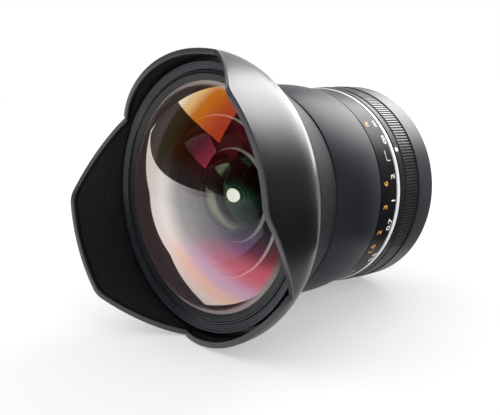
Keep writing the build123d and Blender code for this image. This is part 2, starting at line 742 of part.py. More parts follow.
with BuildPart() as iris_pinion:
    pinion_plane = facing(RING_REAR)
    with BuildSketch(pinion_plane):
        with Locations(Location(Vector(*polar(PITCH_DISTANCE, PINION_ANGLE)), PINION_ANGLE + 180)):
            Polygon(*gear_outline(PINION_TEETH, BACKLASH))
    extrude(amount=GEAR_WIDTH)
    with BuildSketch(pinion_plane):
        with Locations(polar(PITCH_DISTANCE, PINION_ANGLE)):
            Circle(SHAFT_RADIUS)
    extrude(amount=IRIS_FRONT + MOTOR_LENGTH - 1.5 - RING_REAR)
finish(iris_pinion, "iris_pinion")

with BuildPart() as iris_motor:
    with BuildSketch(facing(IRIS_FRONT + SEAT_GAP)):
        with Locations(polar(PITCH_DISTANCE, PINION_ANGLE)):
            Circle(MOTOR_RADIUS)
            Circle(SHAFT_RADIUS + RUNNING_GAP, mode=Mode.SUBTRACT)
    extrude(amount=MOTOR_LENGTH)
finish(iris_motor, "iris_motor")

# Focus ring and what turns with it
OVERLAP_START = SCALE_START + 3.9
OVERLAP_RADIUS = FOCUS_BORE + 0.7
RING_SCREW_STATION = SCALE_START + 6.4
WAIST_DEPTH = 1.0
with BuildPart() as focus_ring:
    with BuildSketch(side()):
        with BuildLine():
            waist = ThreePointArc(
                (FOCUS_START + 2 * EDGE_BREAK, WAIST_RADIUS - WAIST_DEPTH),
                (FOCUS_START + FOCUS_RING_LENGTH / 2, WAIST_RADIUS),
                (FOCUS_END - 2 * EDGE_BREAK, WAIST_RADIUS - WAIST_DEPTH),
            )
            Polyline(
                waist @ 1,
                (FOCUS_END, WAIST_RADIUS - WAIST_DEPTH - 2 * EDGE_BREAK),
                (FOCUS_END, FOCUS_BORE),
                (OVERLAP_START, FOCUS_BORE),
                (OVERLAP_START, OVERLAP_RADIUS),
                (FOCUS_START, OVERLAP_RADIUS),
                (FOCUS_START, WAIST_RADIUS - WAIST_DEPTH - 2 * EDGE_BREAK),
                waist @ 0,
            )
        make_face()
    revolve(axis=LENS_AXIS)
    for screw in range(SCREWS):
        angle = RING_SCREW_TURN + SCREW_STEP * screw
        with BuildSketch(outward(RING_SCREW_STATION, angle, FOCUS_BORE - 1)):
            Circle(RING_SCREW_RADIUS + SCREW_GAP)
        extrude(amount=2.0, mode=Mode.SUBTRACT)
finish(focus_ring, "focus_ring")

with BuildPart() as scale_ring:
    with BuildSketch(side()):
        Polygon(
            (SCALE_START, FOCUS_BORE),
            (SCALE_START, SCALE_RADIUS - EDGE_BREAK),
            (SCALE_START + EDGE_BREAK, SCALE_RADIUS),
            (SCALE_END - EDGE_BREAK, SCALE_RADIUS),
            (SCALE_END, SCALE_RADIUS - EDGE_BREAK),
            (SCALE_END, OVERLAP_RADIUS + SEAT_GAP),
            (OVERLAP_START - SEAT_GAP, OVERLAP_RADIUS + SEAT_GAP),
            (OVERLAP_START - SEAT_GAP, FOCUS_BORE),
        )
    revolve(axis=LENS_AXIS)
finish(scale_ring, "scale_ring")

RING_SCREW_ROOT = SLEEVE_BORE + 0.9
with BuildPart() as focus_ring_screws:
    for screw in range(SCREWS):
        angle = RING_SCREW_TURN + SCREW_STEP * screw
        with BuildSketch(outward(RING_SCREW_STATION, angle, RING_SCREW_ROOT)):
            Circle(RING_SCREW_RADIUS)
        extrude(amount=OVERLAP_RADIUS - 0.05 - RING_SCREW_ROOT)
finish(focus_ring_screws, "focus_ring_screws")

# Stations of the three cam followers at infinity
CARRIER_REAR = IRIS_REAR - 5.3
CARRIER_LENGTH = 15.5
FIRST_FOLLOWER = 3.0
FOLLOWERS = [CARRIER_REAR + FIRST_FOLLOWER + FOLLOWER_STEP * turn for turn in range(3)]
FOLLOWER_TURN = 120

# Cam sleeve: three helical grooves move the followers forward as it turns
SLEEVE_END = FOCUS_END - 0.1
STOP_WINDOW = 2.6
STOP_SPARE = 4
with BuildPart() as cam_sleeve:
    with BuildSketch(side()):
        Polygon(
            (SCALE_START, SLEEVE_BORE),
            (SCALE_START, SLEEVE_OUTER),
            (SLEEVE_END, SLEEVE_OUTER),
            (SLEEVE_END, SLEEVE_BORE),
        )
    revolve(axis=LENS_AXIS)
    for screw in range(SCREWS):
        angle = RING_SCREW_TURN + SCREW_STEP * screw
        with BuildSketch(outward(RING_SCREW_STATION, angle, RING_SCREW_ROOT - 0.05)):
            Circle(RING_SCREW_RADIUS + SCREW_GAP)
        extrude(amount=SLEEVE_WALL, mode=Mode.SUBTRACT)
    with BuildSketch(side(-FOCUS_TURN - STOP_SPARE)):
        Polygon(
            (SCALE_START - 1, SLEEVE_BORE - 1),
            (SCALE_START - 1, SLEEVE_BORE + 1.5),
            (SCALE_START + STOP_WINDOW, SLEEVE_BORE + 1.5),
            (SCALE_START + STOP_WINDOW, SLEEVE_BORE - 1),
        )
    revolve(axis=LENS_AXIS, revolution_arc=FOCUS_TURN + 2 * STOP_SPARE, mode=Mode.SUBTRACT)
    lead = FOCUS_TRAVEL / FOCUS_TURN
    groove_turn = FOCUS_TURN + 2 * GROOVE_OVERRUN
    for turn, station in enumerate(FOLLOWERS):
        angle = FOLLOWER_TURN * turn + GROOVE_OVERRUN
        start = facing(station - lead * GROOVE_OVERRUN, angle)
        path = start.from_local_coords(
            Helix(lead * 360, lead * groove_turn, SLEEVE_BORE, lefthand=True, mode=Mode.PRIVATE)
        )
        with BuildSketch(Plane(path @ 0, x_dir=radial(angle), z_dir=path % 0)):
            Rectangle(2 * GROOVE_DEPTH, 2 * (FOLLOWER_RADIUS + 0.1))
        sweep(path=path, is_frenet=True, mode=Mode.SUBTRACT)
finish(cam_sleeve, "cam_sleeve")

# Main barrel: the fixed tube inside the sleeve, with a straight slot for each follower
MAIN_START = ACCENT_START - 1.4
MAIN_COLLAR = MAIN_START + 2.4
LAND_RADIUS = SLEEVE_BORE - RUNNING_GAP
LAND_LENGTH = 3.0
REAR_LAND = SCALE_START + 3.0
FRONT_LAND = CONE_START - 5.0
STOP_STATION = SCALE_START + 1.4
BARREL_SCREW_STATION = MAIN_START + 1.2
with BuildPart() as main_barrel:
    with BuildSketch(side()):
        Polygon(
            (MAIN_START, TUBE_BORE),
            (MAIN_START, BARREL_BORE - SEAT_GAP),
            (MAIN_COLLAR, BARREL_BORE - SEAT_GAP),
            (MAIN_COLLAR, TUBE_OUTER),
            (REAR_LAND, TUBE_OUTER),
            (REAR_LAND, LAND_RADIUS),
            (REAR_LAND + LAND_LENGTH, LAND_RADIUS),
            (REAR_LAND + LAND_LENGTH, TUBE_OUTER),
            (FRONT_LAND, TUBE_OUTER),
            (FRONT_LAND, LAND_RADIUS),
            (FRONT_LAND + LAND_LENGTH, LAND_RADIUS),
            (FRONT_LAND + LAND_LENGTH, TUBE_OUTER),
            (CONE_START - SEAT_GAP, TUBE_OUTER),
            (CONE_START - SEAT_GAP, SPIGOT_RADIUS),
            (CONE_START + WEB_THICKNESS, SPIGOT_RADIUS),
            (CONE_START + WEB_THICKNESS, TUBE_BORE),
        )
    revolve(axis=LENS_AXIS)
    for turn, station in enumerate(FOLLOWERS):
        middle = station + FOCUS_TRAVEL / 2
        with BuildSketch(outward(middle, FOLLOWER_TURN * turn, TUBE_BORE - 2)):
            SlotOverall(FOCUS_TRAVEL + 2 * FOLLOWER_RADIUS + 0.4, 2 * (FOLLOWER_RADIUS + 0.05))
        extrude(amount=TUBE_WALL + 4, mode=Mode.SUBTRACT)
    with BuildSketch(outward(STOP_STATION, 0, TUBE_BORE - 1)):
        Circle(BARREL_SCREW_RADIUS + SCREW_GAP)
    extrude(amount=TUBE_WALL + 2, mode=Mode.SUBTRACT)
    for screw in range(SCREWS):
        angle = BARREL_SCREW_TURN + SCREW_STEP * screw
        with BuildSketch(outward(BARREL_SCREW_STATION, angle, BARREL_BORE - 2.3)):
            Circle(BARREL_SCREW_RADIUS + SCREW_GAP)
        extrude(amount=3, mode=Mode.SUBTRACT)
finish(main_barrel, "main_barrel")

# Screw in the main barrel that stops the cam sleeve at both ends of its turn
STOP_ROOT = TUBE_BORE + 0.2
with BuildPart() as focus_stop_screw:
    with BuildSketch(outward(STOP_STATION, 0, STOP_ROOT)):
        Circle(BARREL_SCREW_RADIUS)
    extrude(amount=SLEEVE_BORE + 1.2 - STOP_ROOT)
finish(focus_stop_screw, "focus_stop_screw")

# Felt that keeps dust out between the focus ring and the cone
FELT_INNER = SLEEVE_BORE + 1.0
FELT_OUTER = SCALE_RADIUS - 0.9
FELT_REAR = FOCUS_END + 0.15
with BuildPart() as felt_ring:
    with BuildSketch(side()):
        Polygon(
            (FELT_REAR, FELT_INNER),
            (FELT_REAR, FELT_OUTER),
            (CONE_START - SEAT_GAP, FELT_OUTER),
            (CONE_START - SEAT_GAP, FELT_INNER),
        )
    revolve(axis=LENS_AXIS)
finish(felt_ring, "felt_ring")

# Focus carrier: slides in the main barrel and carries the rear cell
CARRIER_RADIUS = TUBE_BORE - RUNNING_GAP
CARRIER_WALL = 1.6
CARRIER_WEB = 2.0
HUB_RADIUS = 12.0
FOLLOWER_ROOT = CARRIER_RADIUS - 1.2
CARRIER_BORE = CARRIER_RADIUS - CARRIER_WALL
CELL_SCREW_CIRCLE = HUB_RADIUS + 1.9
CELL_SCREW_DEPTH = 1.5
WINDOW_INNER = 17.0
WINDOW_OUTER = CARRIER_BORE - 0.6
WINDOW_TURN = 38
WINDOW_ARC = 44
with BuildPart() as focus_carrier:
    with BuildSketch(side()):
        Polygon(
            (CARRIER_REAR, HUB_RADIUS + SEAT_GAP),
            (CARRIER_REAR, CARRIER_RADIUS),
            (CARRIER_REAR + CARRIER_LENGTH, CARRIER_RADIUS),
            (CARRIER_REAR + CARRIER_LENGTH, CARRIER_BORE),
            (CARRIER_REAR + CARRIER_WEB, CARRIER_BORE),
            (CARRIER_REAR + CARRIER_WEB, HUB_RADIUS + SEAT_GAP),
        )
    revolve(axis=LENS_AXIS)
    for window in range(3):
        with BuildSketch(side(WINDOW_TURN + 120 * window)):
            Polygon(
                (CARRIER_REAR - 1, WINDOW_INNER),
                (CARRIER_REAR - 1, WINDOW_OUTER),
                (CARRIER_REAR + CARRIER_WEB + 1, WINDOW_OUTER),
                (CARRIER_REAR + CARRIER_WEB + 1, WINDOW_INNER),
            )
        revolve(axis=LENS_AXIS, revolution_arc=WINDOW_ARC, mode=Mode.SUBTRACT)
    for turn, station in enumerate(FOLLOWERS):
        with BuildSketch(outward(station, FOLLOWER_TURN * turn, FOLLOWER_ROOT)):
            Circle(FOLLOWER_RADIUS + SCREW_GAP)
        extrude(amount=4, mode=Mode.SUBTRACT)
    with BuildSketch(facing(CARRIER_REAR)):
        with PolarLocations(CELL_SCREW_CIRCLE, SCREWS):
            Circle(CELL_SCREW_RADIUS + SCREW_GAP)
    extrude(amount=CELL_SCREW_DEPTH, mode=Mode.SUBTRACT)
finish(focus_carrier, "focus_carrier")

with BuildPart() as cam_followers:
    for turn, station in enumerate(FOLLOWERS):
        with BuildSketch(outward(station, FOLLOWER_TURN * turn, FOLLOWER_ROOT + SEAT_GAP)):
            Circle(FOLLOWER_RADIUS)
        extrude(amount=SLEEVE_BORE + GROOVE_DEPTH - 0.25 - FOLLOWER_ROOT)
finish(cam_followers, "cam_followers")

# Rear cell: elements 6 to 13, loaded from the rear, each against its own step
REAR_CELL_WALL = 1.7
LIP_WIDTH = 0.6
CELL_TOP = ELEMENTS[6].vertex + 0.8
CELL_BOTTOM = ELEMENTS[13].rear_vertex() - 0.6
LIP = ELEMENTS[6].front_at(ELEMENTS[6].rim - LIP_WIDTH) + 0.1
STEP_9 = ELEMENTS[9].front_at(ELEMENTS[8].rim) + 0.1
STEP_12 = ELEMENTS[12].front_at(ELEMENTS[11].rim) + 0.1
FLANGE_FRONT = CARRIER_REAR - SEAT_GAP
CELL_FLANGE = 1.6
FLANGE_REAR = FLANGE_FRONT - CELL_FLANGE
FLANGE_EDGE = CELL_SCREW_CIRCLE + REAR_CELL_WALL
with BuildPart() as rear_cell:
    with BuildSketch(side()):
        Polygon(
            (CELL_TOP, ELEMENTS[6].rim - LIP_WIDTH),
            (LIP, ELEMENTS[6].rim - LIP_WIDTH),
            (LIP, bore(6)),
            (ledge(7), bore(6)),
            (ledge(7), bore(7)),
            (STEP_9, bore(7)),
            (STEP_9, bore(9)),
            (ledge(10), bore(9)),
            (ledge(10), bore(10)),
            (STEP_12, bore(10)),
            (STEP_12, bore(12)),
            (ledge(13), bore(12)),
            (ledge(13), bore(13)),
            (CELL_BOTTOM, bore(13)),
            (CELL_BOTTOM, bore(13) + REAR_CELL_WALL),
            (STEP_12 + 1.0, bore(13) + REAR_CELL_WALL),
            (STEP_12 + 1.6, bore(10) + REAR_CELL_WALL),
            (ledge(10) + 0.4, bore(10) + REAR_CELL_WALL),
            (ledge(10) + 1.4, bore(9) + REAR_CELL_WALL),
            (FLANGE_REAR, bore(9) + REAR_CELL_WALL),
            (FLANGE_REAR, FLANGE_EDGE),
            (FLANGE_FRONT, FLANGE_EDGE),
            (FLANGE_FRONT, HUB_RADIUS),
            (CELL_TOP - LIP_WIDTH, HUB_RADIUS),
            (CELL_TOP, HUB_RADIUS - LIP_WIDTH),
        )
    revolve(axis=LENS_AXIS)
    with BuildSketch(facing(FLANGE_FRONT)):
        with PolarLocations(CELL_SCREW_CIRCLE, SCREWS):
            Circle(CELL_SCREW_RADIUS + SCREW_GAP)
    extrude(amount=-CELL_FLANGE, mode=Mode.SUBTRACT)
finish(rear_cell, "rear_cell")

with BuildPart() as rear_cell_screws:
    with BuildSketch(facing(FLANGE_REAR - SEAT_GAP)):
        with PolarLocations(CELL_SCREW_CIRCLE, SCREWS):
            Circle(CELL_SCREW_RADIUS)
    extrude(amount=CELL_FLANGE + CELL_SCREW_DEPTH - 0.1)
    with BuildSketch(facing(FLANGE_REAR - SEAT_GAP)):
        with PolarLocations(CELL_SCREW_CIRCLE, SCREWS):
            Circle(CELL_SCREW_HEAD)
    extrude(amount=-0.8)
finish(rear_cell_screws, "rear_cell_screws")

# Spacers between the rear elements
SPACER_WALL = 0.65
SPACERS = [(6, 7), (8, 9), (9, 10), (11, 12)]
with BuildPart() as rear_spacers:
    for before, after in SPACERS:
        outer = min(ELEMENTS[before].rim, ELEMENTS[after].rim)
        inner = outer - SPACER_WALL
        top = min(ELEMENTS[before].rear_at(inner), ELEMENTS[before].rear_at(outer)) - 0.05
        bottom = max(ELEMENTS[after].front_at(inner), ELEMENTS[after].front_at(outer)) + 0.05
        with BuildSketch(side()):
            Polygon((top, outer), (top, inner), (bottom, inner), (bottom, outer))
        revolve(axis=LENS_AXIS)
finish(rear_spacers, "rear_spacers")

with BuildPart() as rear_retaining_ring:
    inner = ELEMENTS[13].rim - RETAINER_WIDTH
    held = ELEMENTS[13].rear_at(inner) - 0.05
    with BuildSketch(side()):
        Polygon(
            (held, ELEMENTS[13].rim),
            (held, inner),
            (CELL_BOTTOM, inner),
            (CELL_BOTTOM, ELEMENTS[13].rim),
        )
    revolve(axis=LENS_AXIS)
finish(rear_retaining_ring, "rear_retaining_ring")

# Rear barrel, with the ring seats outside and the ledge and web inside
WEB_REAR = FLANGE_THICKNESS + SEAT_GAP
WEB_FRONT = WEB_REAR + WEB_THICKNESS
FLANGE_SEAT = FLANGE_RADIUS + 0.05
BARREL_CHAMFER = 0.5
LEDGE_START = MAIN_START - 2.5
BOARD_STATION = 9.0
BOARD_THICKNESS = 1.2
BOARD_RADIUS = BARREL_BORE - 2.3
BOARD_BORE = 17.5
BOSS_RADIUS = 1.75
BOSS_CIRCLE = BOARD_RADIUS - 2.0
with BuildPart() as rear_barrel:
    with BuildSketch(side()):
        Polygon(
            (BARREL_STEP, FLANGE_SEAT),
            (BARREL_STEP, BARREL_RADIUS - BARREL_CHAMFER),
            (BARREL_STEP + BARREL_CHAMFER, BARREL_RADIUS),
            (REAR_STEP, BARREL_RADIUS),
            (REAR_STEP, RING_SEAT),
            (MAIN_COLLAR, RING_SEAT),
            (MAIN_COLLAR, BARREL_BORE),
            (MAIN_START - SEAT_GAP, BARREL_BORE),
            (MAIN_START - SEAT_GAP, TUBE_BORE),
            (LEDGE_START, TUBE_BORE),
            (LEDGE_START, BARREL_BORE),
            (WEB_FRONT, BARREL_BORE),
            (WEB_FRONT, NECK_RADIUS + 1.0),
            (WEB_REAR, NECK_RADIUS + 1.0),
            (WEB_REAR, FLANGE_SEAT),
        )
    revolve(axis=LENS_AXIS)
    with BuildSketch(facing(WEB_FRONT)):
        with PolarLocations(BOSS_CIRCLE, 3):
            Circle(BOSS_RADIUS)
    extrude(amount=BOARD_STATION - SEAT_GAP - WEB_FRONT)
    with BuildSketch(facing(WEB_REAR)):
        with PolarLocations(MOUNT_SCREW_CIRCLE, MOUNT_SCREWS, start_angle=MOUNT_SCREW_TURN):
            Circle(MOUNT_SCREW_RADIUS + SCREW_GAP)
    extrude(amount=WEB_THICKNESS, mode=Mode.SUBTRACT)
    for screw in range(SCREWS):
        angle = BARREL_SCREW_TURN + SCREW_STEP * screw
        with BuildSketch(outward(BARREL_SCREW_STATION, angle, BARREL_BORE - 1)):
            Circle(BARREL_SCREW_RADIUS + SCREW_GAP)
        extrude(amount=BARREL_WALL + 2, mode=Mode.SUBTRACT)
finish(rear_barrel, "rear_barrel")

with BuildPart() as barrel_screws:
    for screw in range(SCREWS):
        angle = BARREL_SCREW_TURN + SCREW_STEP * screw
        with BuildSketch(outward(BARREL_SCREW_STATION, angle, BARREL_BORE - 2.2)):
            Circle(BARREL_SCREW_RADIUS)
        extrude(amount=2.2 + BARREL_WALL - 0.1)
finish(barrel_screws, "barrel_screws")


def rib_outline():
    """Points round the ribbed grip."""
    points = []
    pitch = 360 / RIBS
    for rib in range(RIBS):
        middle = rib * pitch
        points.append(polar(GRIP_RADIUS - RIB_DEPTH, middle - pitch * RIB_FOOT_SHARE / 2))
        points.append(polar(GRIP_RADIUS, middle - pitch * RIB_SHARE / 2))
        points.append(polar(GRIP_RADIUS, middle + pitch * RIB_SHARE / 2))
        points.append(polar(GRIP_RADIUS - RIB_DEPTH, middle + pitch * RIB_FOOT_SHARE / 2))
    return points


with BuildPart() as grip_ring:
    with BuildSketch(facing(GRIP_START)):
        Polygon(*rib_outline())
        Circle(RING_SEAT + SEAT_GAP, mode=Mode.SUBTRACT)
    extrude(amount=GRIP_RING_LENGTH)
finish(grip_ring, "grip_ring")

with BuildPart() as index_ring:
    with BuildSketch(side()):
        Polygon(
            (INDEX_START, RING_SEAT + SEAT_GAP),
            (INDEX_START, INDEX_RADIUS - EDGE_BREAK),
            (INDEX_START + EDGE_BREAK, INDEX_RADIUS),
            (INDEX_END - EDGE_BREAK, INDEX_RADIUS),
            (INDEX_END, INDEX_RADIUS - EDGE_BREAK),
            (INDEX_END, RING_SEAT + SEAT_GAP),
        )
    revolve(axis=LENS_AXIS)
finish(index_ring, "index_ring")

ACCENT_FOOT = RING_SEAT - 0.6
with BuildPart() as accent_ring:
    with BuildSketch(side()):
        Polygon(
            (ACCENT_START, RING_SEAT + SEAT_GAP),
            (ACCENT_START, ACCENT_RADIUS - EDGE_BREAK),
            (ACCENT_START + EDGE_BREAK, ACCENT_RADIUS),
            (ACCENT_END - EDGE_BREAK, ACCENT_RADIUS),
            (ACCENT_END, ACCENT_RADIUS - EDGE_BREAK),
            (ACCENT_END, ACCENT_FOOT),
            (MAIN_COLLAR + SEAT_GAP, ACCENT_FOOT),
            (MAIN_COLLAR + SEAT_GAP, RING_SEAT + SEAT_GAP),
        )
    revolve(axis=LENS_AXIS)
finish(accent_ring, "accent_ring")

# Bayonet mount: flange, register, neck and three tabs
NECK_BORE = NECK_RADIUS - NECK_WALL
HEAD_DEPTH = 0.9
HEAD_REAR = 0.1
HEAD_HEIGHT = HEAD_DEPTH - HEAD_REAR - SEAT_GAP
CROSS_LENGTH = 2.2
CROSS_WIDTH = 0.5
with BuildPart() as bayonet_mount:
    with BuildSketch(side()):
        Polygon(
            (FLANGE_THICKNESS, NECK_BORE),
            (FLANGE_THICKNESS, FLANGE_RADIUS),
            (EDGE_BREAK, FLANGE_RADIUS),
            (0, FLANGE_RADIUS - EDGE_BREAK),
            (0, REGISTER_RADIUS),
            (-REGISTER_LENGTH, REGISTER_RADIUS),
            (-REGISTER_LENGTH, NECK_RADIUS),
            (-NECK_LENGTH, NECK_RADIUS),
            (-NECK_LENGTH, NECK_BORE),
        )
    revolve(axis=LENS_AXIS)
    for tab in range(3):
        with BuildSketch(side(120 * tab - TAB_ARC / 2)):
            Polygon(
                (TAB_STATION, NECK_RADIUS - 0.5),
                (TAB_STATION, TAB_RADIUS),
                (TAB_STATION - TAB_THICKNESS, TAB_RADIUS),
                (TAB_STATION - TAB_THICKNESS, NECK_RADIUS - 0.5),
            )
        revolve(axis=LENS_AXIS, revolution_arc=TAB_ARC)
    with BuildSketch(facing(0)):
        with PolarLocations(MOUNT_SCREW_CIRCLE, MOUNT_SCREWS, start_angle=MOUNT_SCREW_TURN):
            Circle(MOUNT_SCREW_RADIUS + SCREW_GAP)
    extrude(amount=FLANGE_THICKNESS, mode=Mode.SUBTRACT)
    with BuildSketch(facing(0)):
        with PolarLocations(MOUNT_SCREW_CIRCLE, MOUNT_SCREWS, start_angle=MOUNT_SCREW_TURN):
            Circle(MOUNT_SCREW_HEAD + SCREW_GAP)
    extrude(amount=HEAD_DEPTH, mode=Mode.SUBTRACT)
finish(bayonet_mount, "bayonet_mount")

with BuildPart() as mount_screws:
    with BuildSketch(facing(HEAD_REAR)):
        with PolarLocations(MOUNT_SCREW_CIRCLE, MOUNT_SCREWS, start_angle=MOUNT_SCREW_TURN):
            Circle(MOUNT_SCREW_HEAD)
    extrude(amount=HEAD_HEIGHT)
    with BuildSketch(facing(HEAD_REAR)):
        with PolarLocations(MOUNT_SCREW_CIRCLE, MOUNT_SCREWS, start_angle=MOUNT_SCREW_TURN):
            Circle(MOUNT_SCREW_RADIUS)
    extrude(amount=FLANGE_THICKNESS + WEB_THICKNESS + 0.4)
    with BuildSketch(facing(HEAD_REAR)):
        with PolarLocations(MOUNT_SCREW_CIRCLE, MOUNT_SCREWS, start_angle=MOUNT_SCREW_TURN):
            Rectangle(CROSS_LENGTH, CROSS_WIDTH)
            Rectangle(CROSS_WIDTH, CROSS_LENGTH)
    extrude(amount=HEAD_HEIGHT / 2, mode=Mode.SUBTRACT)
finish(mount_screws, "mount_screws")

# Contact block opposite the index mark, with its row of pins
CONTACT_REAR = 0.2 - NECK_LENGTH
CONTACT_DEPTH = 2.2
CONTACT_LENGTH = 2.5
BLOCK_ARC = CONTACT_STEP * CONTACTS + 6
BLOCK_BORE = CONTACT_CIRCLE - 1.7
BLOCK_RADIUS = NECK_BORE - 0.05


def contact_angle(contact):
    """Angle of a contact from the index mark."""
    return 180 + CONTACT_STEP * (contact - (CONTACTS - 1) / 2)


with BuildPart() as contact_block:
    with BuildSketch(side(180 - BLOCK_ARC / 2)):
        Polygon(
            (CONTACT_REAR, BLOCK_BORE),
            (BOARD_STATION - SEAT_GAP, BLOCK_BORE),
            (BOARD_STATION - SEAT_GAP, BLOCK_RADIUS),
            (CONTACT_REAR, BLOCK_RADIUS),
        )
    revolve(axis=LENS_AXIS, revolution_arc=BLOCK_ARC)
    for contact in range(CONTACTS):
        with BuildSketch(facing(CONTACT_REAR)):
            with Locations(polar(CONTACT_CIRCLE, contact_angle(contact))):
                Circle(CONTACT_RADIUS + SCREW_GAP)
        extrude(amount=CONTACT_DEPTH, mode=Mode.SUBTRACT)
finish(contact_block, "contact_block")

with BuildPart() as contact_pins:
    for contact in range(CONTACTS):
        with BuildSketch(facing(CONTACT_REAR + CONTACT_DEPTH - SEAT_GAP)):
            with Locations(polar(CONTACT_CIRCLE, contact_angle(contact))):
                Circle(CONTACT_RADIUS)
        extrude(amount=-CONTACT_LENGTH)
finish(contact_pins, "contact_pins")

# Circuit board with a few chips, on the rear barrel's bosses
CHIPS = 5
CHIP_WIDTH = 5.0
CHIP_LENGTH = 7.0
CHIP_HEIGHT = 1.1
with BuildPart() as main_board:
    with BuildSketch(facing(BOARD_STATION)):
        Circle(BOARD_RADIUS)
        Circle(BOARD_BORE, mode=Mode.SUBTRACT)
    extrude(amount=BOARD_THICKNESS)
    with BuildSketch(facing(BOARD_STATION + BOARD_THICKNESS)):
        with PolarLocations((BOARD_RADIUS + BOARD_BORE) / 2, CHIPS, start_angle=110):
            Rectangle(CHIP_WIDTH, CHIP_LENGTH)
    extrude(amount=CHIP_HEIGHT)
finish(main_board, "main_board")

# Flat cable from the circuit board to the iris unit, through a window of the carrier
CABLE_START = BOARD_STATION + BOARD_THICKNESS + SEAT_GAP
CABLE_THICKNESS = 0.15
CABLE_WIDTH = 5.0
CABLE_TURN = WINDOW_TURN + WINDOW_ARC / 2
with BuildPart() as iris_cable:
    with BuildSketch(facing(CABLE_START)):
        with Locations(Location(Vector(*polar(IRIS_RADIUS + 0.2, CABLE_TURN)), CABLE_TURN)):
            Rectangle(CABLE_THICKNESS, CABLE_WIDTH)
    extrude(amount=IRIS_FRONT - CABLE_START)
finish(iris_cable, "iris_cable")

# Rear baffle: a light trap inside the neck, cut away beside the contact block
BAFFLE_BORE = ELEMENTS[13].rim + 2.9
BAFFLE_WALL = 1.0
BAFFLE_LENGTH = 4.4
BAFFLE_REAR = -3.4
BAFFLE_FRONT = BAFFLE_REAR + BAFFLE_WALL
BAFFLE_EDGE = BLOCK_BORE - 0.3
with BuildPart() as rear_baffle:
    with BuildSketch(side(180 + BLOCK_ARC / 2 + 1)):
        Polygon(
            (BAFFLE_REAR, BAFFLE_EDGE - 0.2),
            (BAFFLE_REAR, BLOCK_RADIUS),
            (BAFFLE_FRONT, BLOCK_RADIUS),
            (BAFFLE_FRONT, BAFFLE_EDGE - 0.2),
        )
    revolve(axis=LENS_AXIS, revolution_arc=360 - BLOCK_ARC - 2)
    with BuildSketch(side()):
        Polygon(
            (BAFFLE_REAR, BAFFLE_BORE),
            (BAFFLE_REAR, BAFFLE_EDGE),
            (BAFFLE_FRONT, BAFFLE_EDGE),
            (BAFFLE_FRONT, BAFFLE_BORE + BAFFLE_WALL),
            (BAFFLE_LENGTH + BAFFLE_REAR, BAFFLE_BORE + BAFFLE_WALL),
            (BAFFLE_LENGTH + BAFFLE_REAR, BAFFLE_BORE),
        )
    revolve(axis=LENS_AXIS)
finish(rear_baffle, "rear_baffle")
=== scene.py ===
"""Looks of an ultra-wide camera lens with a petal hood, lying on its side. All lengths are in metres."""

import json
import logging
import math
from collections.abc import Callable
from dataclasses import dataclass, field
from enum import Enum, IntEnum

import bmesh
import bpy
from bmesh.types import BMEdge, BMesh, BMVert
from bpy.types import Material, Object
from mathutils import Matrix, Vector


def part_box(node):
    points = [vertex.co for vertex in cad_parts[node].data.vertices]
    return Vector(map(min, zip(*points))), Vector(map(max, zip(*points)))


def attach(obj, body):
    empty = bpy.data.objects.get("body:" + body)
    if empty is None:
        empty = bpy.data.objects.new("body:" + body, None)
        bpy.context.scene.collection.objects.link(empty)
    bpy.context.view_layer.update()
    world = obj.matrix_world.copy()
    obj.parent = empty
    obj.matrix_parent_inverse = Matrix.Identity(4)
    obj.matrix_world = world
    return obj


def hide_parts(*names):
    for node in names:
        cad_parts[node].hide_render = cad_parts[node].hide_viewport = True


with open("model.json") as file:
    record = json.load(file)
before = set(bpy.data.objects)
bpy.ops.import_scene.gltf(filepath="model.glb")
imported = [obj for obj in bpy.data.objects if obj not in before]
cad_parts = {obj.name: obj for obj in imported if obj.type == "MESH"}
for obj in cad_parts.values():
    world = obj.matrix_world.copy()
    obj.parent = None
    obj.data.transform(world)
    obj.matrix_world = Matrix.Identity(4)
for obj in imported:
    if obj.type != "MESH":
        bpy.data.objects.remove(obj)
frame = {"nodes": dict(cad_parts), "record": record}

MM = 0.001
# Degrees from the top of the row frame to the index mark
INDEX_ROLL = 64.0
# Steps of a full turn
TURN_STEPS = 288
# Points closer than this are merged
SMALLEST = 0.0001 * MM
# How far two points on a level edge may differ
LEVEL = SMALLEST * 10
# How far a spun point may drift from its drawn radius
NEAR = 0.01 * MM
# Edges that are bevelled, and edges that are shaded sharp, in degrees
SHARP_ANGLE = 28.0
SMOOTH_ANGLE = 40.0
NORMAL_WEIGHT = 90
# The part of a noise that changes a colour, and how far a grain changes roughness
CONTRAST = (0.3, 0.7)
GRAIN_SHARE = 0.1
FORWARD = Vector((0.0, -1.0, 0.0))
log = logging.getLogger("lens")

Colour = tuple[float, float, float]
Pair = tuple[float, float]
Tints = tuple[tuple[float, Colour], ...]
Socket = bpy.types.NodeSocket


def radial(angle: float) -> Vector:
    """Unit vector away from the axis, by degrees from the index mark, right-handed about the front."""
    turn = math.radians(angle - INDEX_ROLL)
    return Vector((-math.sin(turn), 0.0, math.cos(turn)))


def spot(station: float, radius: float, angle: float) -> Vector:
    """Point by metres from the mount's flange, metres from the axis and degrees from the index mark."""
    return FORWARD * station + radial(angle) * radius


def distance_from_axis(point: Vector) -> float:
    """Radius of a point."""
    return math.hypot(point.x, point.z)


def angle_of(point: Vector) -> float:
    """Degrees from the index mark to a point, from 0 to 360."""
    return (math.degrees(math.atan2(-point.x, point.z)) + INDEX_ROLL) % 360.0


def pick(kind: type, geometry: list[object]) -> list[object]:
    """The items of one kind in an operator's result."""
    return [item for item in geometry if isinstance(item, kind)]


@dataclass(frozen=True)
class Span:
    """Where a turned node lies, read from the frame."""

    rear: float
    front: float
    radius: float

    @classmethod
    def of(cls, node: str) -> "Span":
        """Stations and largest radius of a node."""
        low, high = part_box(node)
        return cls(rear=-high.y, front=-low.y, radius=(high.x - low.x) / 2)


def span_of(node: str) -> Span:
    """A dataclass field with the span of a node."""
    return field(default_factory=lambda: Span.of(node))


